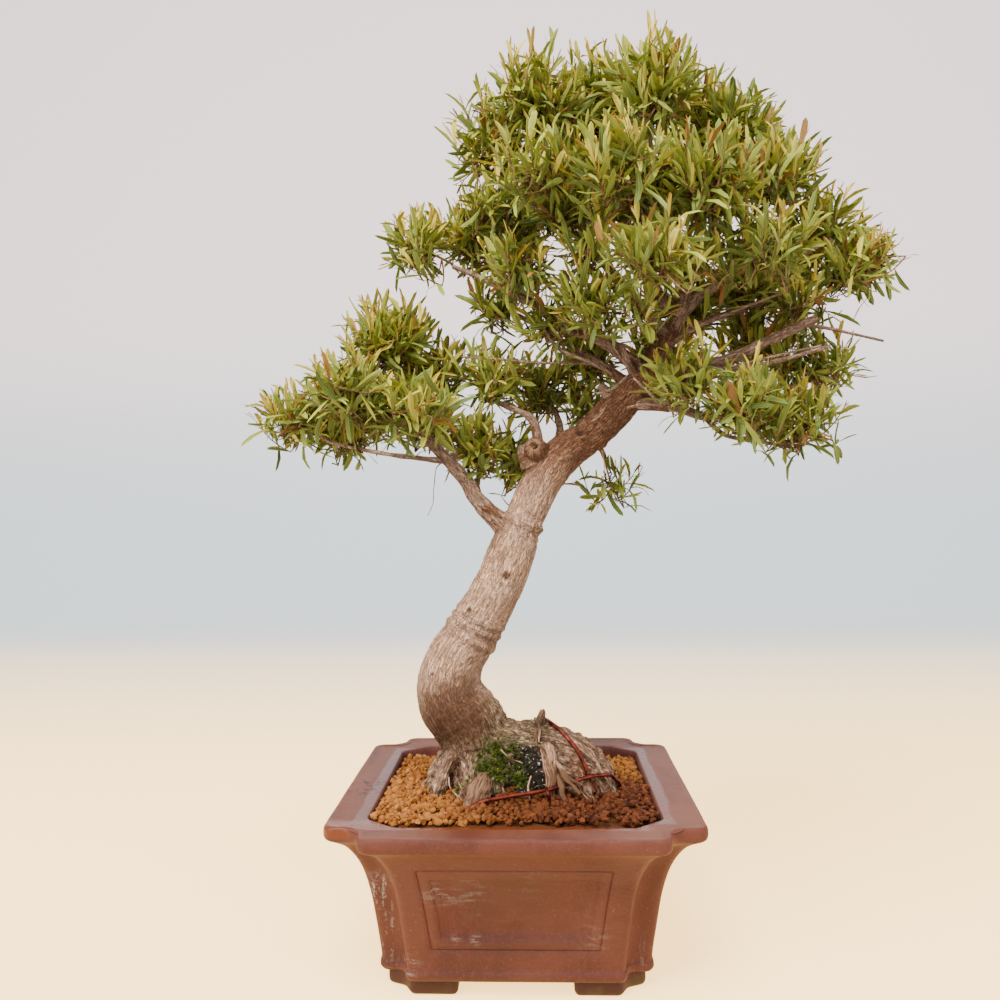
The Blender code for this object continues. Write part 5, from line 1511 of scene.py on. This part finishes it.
# %% Lay the bare roots and the dead wood
DEAD_WOOD = metres([
    [(25, -46, 184, 4.2), (27.8, -49, 177, 6), (29.6, -51, 164, 5), (30.4, -52, 149, 4.2),
     (32, -53, 130, 4.4)],
    [(23, -49, 181, 2), (24.8, -52, 172, 2.6), (26.8, -54, 158, 2.2), (28, -55, 140, 2)],
    [(33, -50, 172, 1.6), (39, -54, 163, 2.6), (46, -57, 154, 2.4), (54, -58, 146, 1.6)],
    [(35, -52, 160, 1.4), (38, -56, 153, 2.2), (40, -59, 144, 2.2), (45, -61, 136, 1.6)],
    [(40, -52, 162, 1), (48, -55, 156, 1.3), (56, -55, 152, 1)],
    [(13, -56, 160, 0.5), (11, -62, 152, 0.8), (12, -64, 142, 0.7)],
    [(-26, -56, 158, 5.2), (-30, -62, 152, 7.8), (-34, -68, 143, 8.4), (-35, -71, 130, 7)],
    [(18, -18, 190, 2.6), (20, -19, 197, 2.5), (22.8, -18, 203, 1.6), (25, -17, 207.5, 0.7)],
    [(19.5, -20, 196, 2.2), (16.5, -21, 201, 0.8)],
    [(20, -26, 197, 0.8), (20.8, -31, 190, 0.9), (20.4, -35, 183, 0.7)],
    [(17, -27, 194, 0.6), (18, -32, 187, 0.6), (18.6, -36, 180, 0.6)],
])
THREADS = metres([
    [(-64, -26, 425, 0.6), (-66.8, -35, 419.6, 0.5), (-69, -36, 401.2, 0.4), (-70, -35, 390, 0.4),
     (-74.6, -34, 379.8, 0.5)],
    [(-58, -40, 154, 0.6), (-56, -50, 149, 0.6), (-48, -60, 143, 0.6)],
    [(-52, -46, 156, 0.5), (-46, -56, 150, 0.6), (-41, -62, 142, 0.5)],
    [(-12, -56, 182, 0.5), (-4, -61, 176, 0.6), (6, -60, 172, 0.5)],
    [(46, -46, 156, 0.8), (53, -52, 149, 0.8), (60, -60, 142, 0.6)],
    [(92, -88, 134.5, 0.4), (100, -96, 137.2, 0.5), (108, -92, 137.8, 0.4)],
    [(98, -84, 134.5, 0.4), (106, -88, 138, 0.5), (116, -88, 140, 0.4)],
])


WARP_SHIFTS = (0.0, 31.4, 67.7)
WARP_SCALE = 95
WARP_MOST = 0.003


def split_wood(lines, steps, rings, depth):
    """Tubes whose skin is pulled into ridges along the wood, and bent a little."""
    mesh, radii = wooden_tubes(lines, steps, rings, lambda grain, radius:
                               (ridges(grain, 420, 45) - 1.0) * radius * depth)
    for vertex, radius in zip(mesh.vertices, radii):
        place = vertex.co * WARP_SCALE
        bend = [noise.noise(place + Vector((shift, 0, 0))) for shift in WARP_SHIFTS]
        vertex.co += Vector(bend) * min(radius, WARP_MOST) * 0.9
    return mesh


# %% Finish the dead wood
SPLIT_PLACE = (0.044, -0.057, 0.150)
STUB_SHADE_PLACE = (-0.031, -0.066, 0.150)
SNAG_PLACE = (0.0215, -0.018, 0.200)
grey = Paint("dead_wood", Specular_IOR_Level=0.2)
grey_z = grey.axes(grey.here)[2]
grey_fibre = grey.fibre(0.12, 620, 5, 0.7)
grey_cloud = grey.cloud(grey.here, 60, 3)
grey_snag = grey.near(SNAG_PLACE, 0.020, 0.3) * grey.fade(grey_z, 0.190, 0.194)
grey.base(grey.fade(grey_fibre, 0.40, 0.57), (54, 30, 20), (222, 172, 136))
grey.coat(grey.near(SPLIT_PLACE, 0.022, 0.6) * 0.85, (74, 42, 28))
grey.coat(grey.fade(grey_cloud, 0.45, 0.65) * 0.7, (112, 78, 52))
# Painted shade over the front stub of dead root.
grey.coat(grey.near(STUB_SHADE_PLACE, 0.022, 0.4) * 0.70, (86, 56, 34))
grey.coat(grey_snag * 0.75, (56, 42, 30))
dead_paint = grey.wear(Roughness=0.85 + grey_cloud * 0.1, Normal=grey.bump(grey_fibre, 0.0016))
dead_mesh = split_wood(DEAD_WOOD, 8, 8, 0.34)
finish_piece(dead_mesh, "dead_wood", "bark", dead_paint, sharp=math.pi)
thread_mesh = split_wood(THREADS, 6, 1, 0.1)
finish_piece(thread_mesh, "fine_roots", "bark", dead_paint, sharp=math.pi)

# %% [markdown]
# The leaves make the tree. A willow leaf fig has narrow pointed leaves, 20 to 35 mm long and 4 to
# 5 mm wide, folded a little along a pale midrib, with yellow margins when young. They sit one by
# one in a spiral round thin brown shoots, and each shoot ends in a rust-coloured sheath. A few
# leaf shapes are modelled once and set out by this rule in every pad of the crown, with the same
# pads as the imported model, so the outline of the crown stays the same.

# %% Shape the leaves
LEAF_STATIONS = [(0.00, 0.12), (0.26, 0.66), (0.60, 1.00), (0.88, 0.74)]
LEAF_BODY = 0.0048
LEAF_DROOPS = (-1.0, -0.5, 0.3, 0.8, 1.3)


def leaf_shape(draw, width, fold, droop, sweep):
    """One leaf, 1 long, from a four-sided cone that is cut across and opened into a blade."""
    bm = bmesh.new()
    bmesh.ops.create_cone(bm, cap_ends=True, cap_tris=False, segments=4, radius1=1.0, radius2=0.0,
                          depth=1.0, matrix=Matrix.Translation((0, 0, 0.5)))
    for station, _ in LEAF_STATIONS[1:]:
        bmesh.ops.bisect_plane(bm, geom=bm.verts[:] + bm.edges[:] + bm.faces[:],
                               plane_co=(0, 0, station), plane_no=(0, 0, 1))
    blade = []
    for vertex in bm.verts:
        t = vertex.co.z
        side = Vector((vertex.co.x, vertex.co.y)).normalized() if t < 0.999 else Vector((0, 0))
        half = width * np.interp(t, *zip(*LEAF_STATIONS, (1.0, 0.0)))
        edge = abs(side.x) > 0.5
        rise = half * fold if edge else side.y * LEAF_BODY
        bend = droop * t
        place = Vector((side.x * half, math.sin(bend) / droop,
                        rise * math.cos(bend) - (1 - math.cos(bend)) / droop))
        place.x += sweep * t * t
        place.z += draw.uniform(-1, 1) * width * 0.12
        vertex.co = place
        blade.append((float(edge), t, float(not edge and side.y < 0)))
    bmesh.ops.recalc_face_normals(bm, faces=bm.faces)
    mesh = mesh_of(bm)
    store(mesh, "blade", blade)
    return mesh


def leaf_shapes(draw, count):
    """Leaves of different width, fold, droop and sideways sweep."""
    shapes = []
    for _ in range(count):
        width = draw.uniform(0.062, 0.106)
        fold = draw.uniform(0.15, 0.85)
        droop = draw.choice(LEAF_DROOPS) + draw.uniform(-0.25, 0.25)
        shapes.append(leaf_shape(draw, width, fold, droop, draw.uniform(-0.34, 0.34)))
    return shapes


leaf_draw = random.Random(31)
LEAVES = leaf_shapes(leaf_draw, 22)
SHEATH = leaf_shape(leaf_draw, 0.055, 0.9, 0.25, 0.05)
print(len(LEAVES), "leaf shapes of", len(LEAVES[0].polygons), "faces")

# %% [markdown]
# A pad is filled shoot by shoot. Twigs leave the nearest limb for the pad's middle, shoots run
# from them to places spread evenly over the pad, and every shoot turns up towards the light. The
# leaves near its tip are small, upright and yellow-green; lower down they are long, spread and
# dark. Every choice comes from a seeded draw, so the tree grows the same way each time.

# %% Pads of the crown
PADS = metres({
    "left_1": ((-197, -12, 471), (34, 42, 30)), "left_2": ((-144, -44, 495), (39, 40, 36)),
    "left_3": ((-112, -6, 540), (40, 46, 41)), "left_4": ((-77, 34, 515), (38, 38, 38)),
    "left_5": ((-152, 24, 469), (47, 40, 26)), "left_6": ((-83, -50, 472), (34, 34, 27)),
    "middle_1": ((-19, 4, 506), (31, 36, 27)), "middle_2": ((31, 62, 505), (41, 42, 37)),
    "middle_3": ((-34, 8, 441), (22, 26, 24)), "upper_1": ((-83, -14, 623), (30, 36, 30)),
    "upper_2": ((-41, 24, 641), (39, 40, 32)), "upper_3": ((4, -44, 597), (34, 36, 29)),
    "crown_1": ((-20, 2, 718), (36, 46, 47)), "crown_2": ((18, -28, 749), (40, 46, 45)),
    "crown_3": ((76, 26, 770), (49, 50, 42)), "crown_4": ((123, -36, 755), (45, 48, 45)),
    "crown_5": ((182, 22, 745), (46, 48, 45)), "crown_6": ((30, -76, 667), (41, 42, 38)),
    "crown_7": ((90, -104, 660), (44, 42, 38)), "crown_8": ((155, -84, 656), (45, 44, 41)),
    "crown_9": ((110, -112, 588), (43, 38, 31)), "crown_10": ((43, 84, 700), (58, 44, 52)),
    "crown_11": ((145, 100, 700), (61, 44, 52)), "crown_12": ((67, -52, 563), (34, 36, 37)),
    "right_1": ((231, -22, 676), (41, 46, 35)), "right_2": ((284, 22, 645), (44, 46, 37)),
    "right_3": ((309, -12, 604), (33, 40, 32)), "right_4": ((217, -66, 605), (42, 42, 33)),
    "right_5": ((250, 84, 620), (54, 42, 44)), "low_1": ((144, -54, 499), (37, 38, 32)),
    "low_2": ((190, -66, 475), (37, 38, 30)), "low_3": ((250, -24, 463), (40, 42, 37)),
    "low_4": ((285, 20, 516), (31, 38, 33)), "low_5": ((236, 58, 550), (48, 40, 35)),
    "hanging_1": ((93, 48, 409), (36, 34, 27)),
})
BETWEEN_PADS = metres({
    "crown_a": ((-21, -15, 657), (30, 34, 30)), "crown_b": ((3, 30, 648), (34, 36, 28)),
    "crown_c": ((45, -40, 646), (34, 34, 30)), "crown_d": ((69, -55, 613), (30, 32, 28)),
    "crown_e": ((85, 45, 749), (50, 44, 44)), "crown_f": ((108, -70, 647), (36, 34, 34)),
    "crown_g": ((170, -70, 650), (38, 34, 34)), "crown_h": ((44, -30, 736), (34, 36, 34)),
    "crown_i": ((125, -45, 736), (36, 36, 32)), "crown_j": ((204, 10, 731), (38, 40, 36)),
    "crown_k": ((160, -50, 602), (34, 34, 30)), "centre_a": ((-11, 20, 578), (30, 34, 24)),
    "centre_b": ((30, -10, 551), (34, 36, 26)), "centre_c": ((73, 40, 532), (30, 34, 34)),
    "centre_d": ((68, 45, 489), (28, 32, 26)), "centre_e": ((108, -60, 554), (34, 34, 28)),
    "centre_f": ((142, 50, 539), (34, 36, 30)), "centre_g": ((3, 40, 435), (26, 30, 28)),
    "centre_h": ((-29, 5, 448), (25, 28, 24)), "left_a": ((-100, -20, 482), (36, 36, 30)),
    "left_b": ((-142, -30, 482), (34, 34, 26)), "left_c": ((-74, 0, 466), (30, 34, 26)),
    "left_d": ((-111, 10, 546), (30, 34, 32)), "left_e": ((-159, 30, 465), (36, 34, 22)),
    "right_a": ((165, 30, 577), (40, 40, 32)), "right_b": ((216, 50, 590), (38, 38, 30)),
    "right_c": ((258, 0, 569), (34, 36, 24)), "right_d": ((237, 0, 695), (34, 36, 30)),
    "right_e": ((307, 20, 607), (34, 36, 26)), "right_f": ((252, 30, 513), (34, 36, 26)),
    "right_g": ((207, -40, 477), (34, 34, 24)),
})


# %% Grow one shoot
SHOOTS = 34
THIN_PADS = {"hanging_1": 0.35, "centre_d": 0.6, "centre_e": 0.35, "right_f": 0.6, "low_3": 0.8,
             "low_4": 0.7, "centre_a": 0.7, "centre_b": 0.7, "right_c": 0.7, "low_1": 0.8,
             "crown_d": 0.6, "crown_k": 0.45}
RUNNERS = 2
SHOOT_LENGTH = (0.026, 0.044)
LEAF_SPACING = 0.0040
LEAF_LENGTH = (0.017, 0.036)
SHEATH_LENGTH = (0.008, 0.015)
LOW_SPREAD = (40, 92)
TIP_SPREAD = (6, 52)
GOLDEN_ANGLE = math.pi * (3 - math.sqrt(5))
PAD_SIZE = 0.040 ** 3
TIP_INSET = 0.005
TOP_INSET = 0.014
TWIG_RADIUS = 0.0011
SHOOT_RADIUS = 0.0009
TAPER = 0.06
UP = Vector((0, 0, 1))
LEAF_PAST = Vector((0.004, 0.004, 0.004))
LEAF_LOW = Vector(CAD_BOX[0]) - POT_MIDDLE - LEAF_PAST
LEAF_HIGH = Vector(CAD_BOX[1]) - POT_MIDDLE + LEAF_PAST


def curve_between(start, through, end, steps):
    """Places on a curve that leaves start towards through and ends at end."""
    places = []
    for step in range(steps + 1):
        t = step / steps
        places.append(start * (1 - t) ** 2 + through * 2 * t * (1 - t) + end * t ** 2)
    return places


def leaf_matrix(base, along, up, length):
    """Where a leaf stands: its length along one direction and its upper side turned to another."""
    across = along.cross(up).normalized()
    up = across.cross(along)
    turn = Matrix((across, along, up)).transposed().to_4x4()
    return Matrix.Translation(base) @ turn @ Matrix.Scale(length, 4)


def dress_shoot(route, draw, youth_and_top_light, placed):
    """Set leaves in a spiral along the outer part of a shoot, and a sheath on its tip."""
    length = sum((after - before).length for before, after in zip(route, route[1:]))
    count = max(6, round(length / LEAF_SPACING))
    turn = draw.uniform(0, 2 * math.pi)
    for index in range(count):
        part = index / (count - 1)
        spot = part * (len(route) - 1)
        lower = min(int(spot), len(route) - 2)
        base = route[lower].lerp(route[lower + 1], spot - lower)
        along = (route[lower + 1] - route[lower]).normalized()
        side = along.orthogonal().normalized()
        outward = Matrix.Rotation(turn + GOLDEN_ANGLE * index, 3, along) @ side
        spread = draw.uniform(*LOW_SPREAD) * (1 - part) + draw.uniform(*TIP_SPREAD) * part
        spread = math.radians(spread)
        facing = along * math.cos(spread) + outward * math.sin(spread) + UP * draw.uniform(0.0, 0.5)
        facing += jitter(draw, 0.28)
        facing.normalize()
        up = (UP + along * 0.6 - outward * 0.4 + jitter(draw, 0.5)).normalized()
        size = draw.uniform(*LEAF_LENGTH) * (1.0 - 0.42 * max(0, part - 0.72) / 0.28)
        age = youth_and_top_light * (0.30 + 0.70 * part) + draw.uniform(-0.22, 0.22)
        rust = 1.0 if draw.random() < 0.015 + 0.04 * part else 0.0
        tip = base + facing * size
        if any(not LEAF_LOW[axis] < tip[axis] < LEAF_HIGH[axis] for axis in range(3)):
            size *= 0.6
        placed.append((draw.choice(LEAVES), leaf_matrix(base, facing, up, size),
                       (min(max(age, 0), 1), draw.random(), rust)))
    tip_along = (route[-1] - route[-2]).normalized()
    matrix = leaf_matrix(route[-1], tip_along, tip_along.orthogonal(),
                         draw.uniform(*SHEATH_LENGTH))
    placed.append((SHEATH, matrix, (1.0, draw.random(), 1.0)))


# %% Spread the tips of the shoots
def shoot_tips(centre, reach, count, draw):
    """Places spread evenly over the pad and through it, fewer on its underside."""
    inner = [side - TIP_INSET for side in reach]
    turn = draw.uniform(0, 2 * math.pi)
    tips = []
    for index in range(count):
        z = 1 - 1.8 * (index + 0.5) / count
        flat = math.sqrt(max(0, 1 - z * z))
        angle = turn + GOLDEN_ANGLE * index
        depth = draw.choice((1.0, 1.0, 0.8, 0.5)) * draw.uniform(0.86, 1.12)
        aim = Vector((math.cos(angle) * flat, math.sin(angle) * flat, z)) * depth
        tip = centre + Vector([aim[axis] * inner[axis] for axis in range(3)])
        tip.z -= max(aim.z, 0) * (TOP_INSET - TIP_INSET)
        tips.append(tip + jitter(draw, 0.007))
    for index in range(RUNNERS):
        tips[index] += Vector((draw.uniform(-0.01, 0.01), draw.uniform(-0.01, 0.01), 0.005))
    return tips


# %% Grow one pad
def pad_stem(centre, reach, draw):
    """A twig from the nearest limb up into the pad."""
    base = centre - UP * reach[2] * 0.45
    root = limb_tree.find_nearest(centre)[0]
    through = root.lerp(base, 0.5) + jitter(draw, 0.004)
    return curve_between(root, through, centre.lerp(base, 0.3), 6)


def shoot_route(tip, centre, reach, draw):
    """A shoot that bows outward and turns up to its tip, and the way it points."""
    outward = Vector([(tip[axis] - centre[axis]) / reach[axis] for axis in range(3)])
    upward = 0.85 if outward.z > -0.25 else 0.30
    aim = (outward.normalized() * 0.80 + UP * upward * draw.uniform(0.4, 1.3)
           + jitter(draw, 0.48)).normalized()
    length = draw.uniform(*SHOOT_LENGTH)
    start = tip - aim * length
    bow = start.lerp(tip, 0.5) + (outward.normalized() - UP) * length * 0.10
    return curve_between(start, bow, tip, 6), aim


def tapered(places, radius):
    """A line of places that gets thinner towards its end."""
    return [(*place, radius * (1 - TAPER * index)) for index, place in enumerate(places)]


def grow_pad(name, centre, reach, number):
    """The leaves and the twigs of one pad, as two meshes."""
    draw = random.Random(200 + number)
    centre = Vector(centre)
    stem = pad_stem(centre, reach, draw)
    twigs = [tapered(stem, TWIG_RADIUS)]
    volume = reach[0] * reach[1] * reach[2]
    count = round(SHOOTS * THIN_PADS.get(name, 1) * (volume / PAD_SIZE) ** 0.6)
    placed = []
    for tip in shoot_tips(centre, reach, count, draw):
        route, aim = shoot_route(tip, centre, reach, draw)
        start = route[0]
        hub = min(stem[2:], key=lambda place: (place - start).length)
        branch = curve_between(hub, hub.lerp(start, 0.6) - aim * 0.004, start, 3)[:-1]
        twigs.append(tapered(branch + route, SHOOT_RADIUS))
        height = min(max((tip.z - (centre.z - reach[2])) / (2 * reach[2]), 0), 1)
        # Shoots high in the pad are younger and yellower: partly real new growth on top, partly
        # painted light on the top of the pad.
        youth_and_top_light = 0.35 + 0.55 * height + draw.uniform(-0.32, 0.28)
        dress_shoot(route, draw, youth_and_top_light, placed)
    leaf_mesh, stored = gather(placed)
    store(leaf_mesh, "leaf", stored)
    return leaf_mesh, tubes(twigs, 1, 0), len(placed)


def joined(leaf_mesh, twig_mesh):
    """One mesh of leaves, with the first material, and twigs, with the second."""
    bm = bmesh.new()
    bm.from_mesh(leaf_mesh)
    leaf_faces = len(bm.faces)
    bm.from_mesh(twig_mesh)
    for index, face in enumerate(bm.faces):
        face.material_index = 0 if index < leaf_faces else 1
    return mesh_of(bm)


# %% [markdown]
# A leaf is satin above and duller below. Its colour runs with its age from yellow-green through
# fresh green to a deep blue-green, the midrib and the margins are paler, and some young leaves
# have rusty tips. Light also passes through a leaf, so a little of the shading is translucent,
# which keeps the shaded side of the crown green.

# %% Colour the leaves
GLOW_PART = 0.28
leaf = Paint("leaf", Specular_IOR_Level=0.24)
across, along_leaf, under = leaf.axes(leaf.attribute("blade"))
age, leaf_tint, rust = leaf.axes(leaf.attribute("leaf"))
leaf_cloud = leaf.cloud(leaf.here, 55, 3)
leaf_mottle = leaf.cloud(leaf.here, 600, 3, 0.6)
# age also holds the shoot's height in its pad, so the yellow tops of the pads are partly painted
# light.
young_side = leaf.fade(age + leaf_cloud * 0.30, 0.62, 1.05)
old_side = leaf.fade(age + leaf_cloud * 0.25, 0.52, 0.22)
leaf.base(leaf_tint, (142, 160, 64), (196, 200, 84))
leaf.coat(young_side, leaf.mix(leaf_tint, (232, 210, 76), (252, 228, 106)))
leaf.coat(old_side, leaf.mix(leaf_tint, (86, 112, 56), (124, 146, 76)))
leaf.coat(leaf.fade(leaf_mottle, 0.45, 0.75) * 0.2, (168, 164, 56))
khaki = leaf.mix(young_side, (116, 130, 48), (192, 184, 64))
leaf.coat(under * 0.7, khaki)
margin = leaf.fade(across, 0.66, 0.96) * (0.40 + young_side * 0.5)
leaf.coat(margin, (222, 190, 52))
midrib = leaf.fade(across, 0.20, 0.02) * 0.55
leaf.coat(midrib, (188, 186, 92))
rusty_tip = leaf.fade(along_leaf, 0.62, 1.0) * leaf.fade(leaf_tint, 0.62, 0.85) * young_side
leaf.coat(rusty_tip * 0.6, (176, 104, 50))
leaf.coat(rust * 0.85, leaf.mix(leaf_tint, (134, 78, 38), (186, 122, 60)))
leaf_blade = leaf.wear(Roughness=0.50 + under * 0.2, Normal=leaf.bump(leaf_mottle, 0.0001))
through_light = leaf.node("ShaderNodeBsdfTranslucent", None, {"Color": leaf.colour})
surface = Link(leaf, leaf.shader.outputs[0])
leaf_both = leaf.node("ShaderNodeMixShader", None, {0: GLOW_PART, 1: surface, 2: through_light})
leaf.feed(leaf.tree.nodes["Material Output"].inputs["Surface"], leaf_both)

twig = Paint("twig", Specular_IOR_Level=0.25)
twig_cloud = twig.cloud(twig.here, 420, 4, 0.6)
twig.base(twig.fade(twig_cloud, 0.35, 0.65), (92, 58, 38), (160, 116, 80))
twig_bark = twig.wear(Roughness=0.75 + twig_cloud * 0.1, Normal=twig.bump(twig_cloud, 0.0003))
print(len(leaf.tree.nodes), "nodes in the leaf and", len(twig.tree.nodes), "in the twig")

# %% Grow the crown
LEAF_SHARP = math.radians(28)
leaf_count = 0
for number, (pad_name, (pad_centre, pad_reach)) in enumerate((PADS | BETWEEN_PADS).items()):
    *pad_meshes, pad_leaves = grow_pad(pad_name, pad_centre, pad_reach, number)
    leaf_count += pad_leaves
    pad_mesh = joined(*pad_meshes)
    face_kinds = [polygon.material_index for polygon in pad_mesh.polygons]
    pad = finish_piece(pad_mesh, "leaves_" + pad_name, "leaf", leaf_blade, twig_bark,
                       sharp=LEAF_SHARP)
    pad.data.polygons.foreach_set("material_index", face_kinds)
    if pad_name in PADS:
        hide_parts("spray_" + pad_name)
print(leaf_count, "leaves in", len(PADS) + len(BETWEEN_PADS), "pads")
triangles = [sum(len(face.vertices) - 2 for face in piece.data.polygons) for piece in PIECES]
print(sum(triangles), "triangles in", len(PIECES), "new pieces, the largest of", max(triangles))

# %% Write both boxes and finish
SCENE_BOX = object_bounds()
for label, box in (("model", CAD_BOX), ("scene", SCENE_BOX)):
    print(label, "box", [round(value, 4) for corner in box for value in corner])
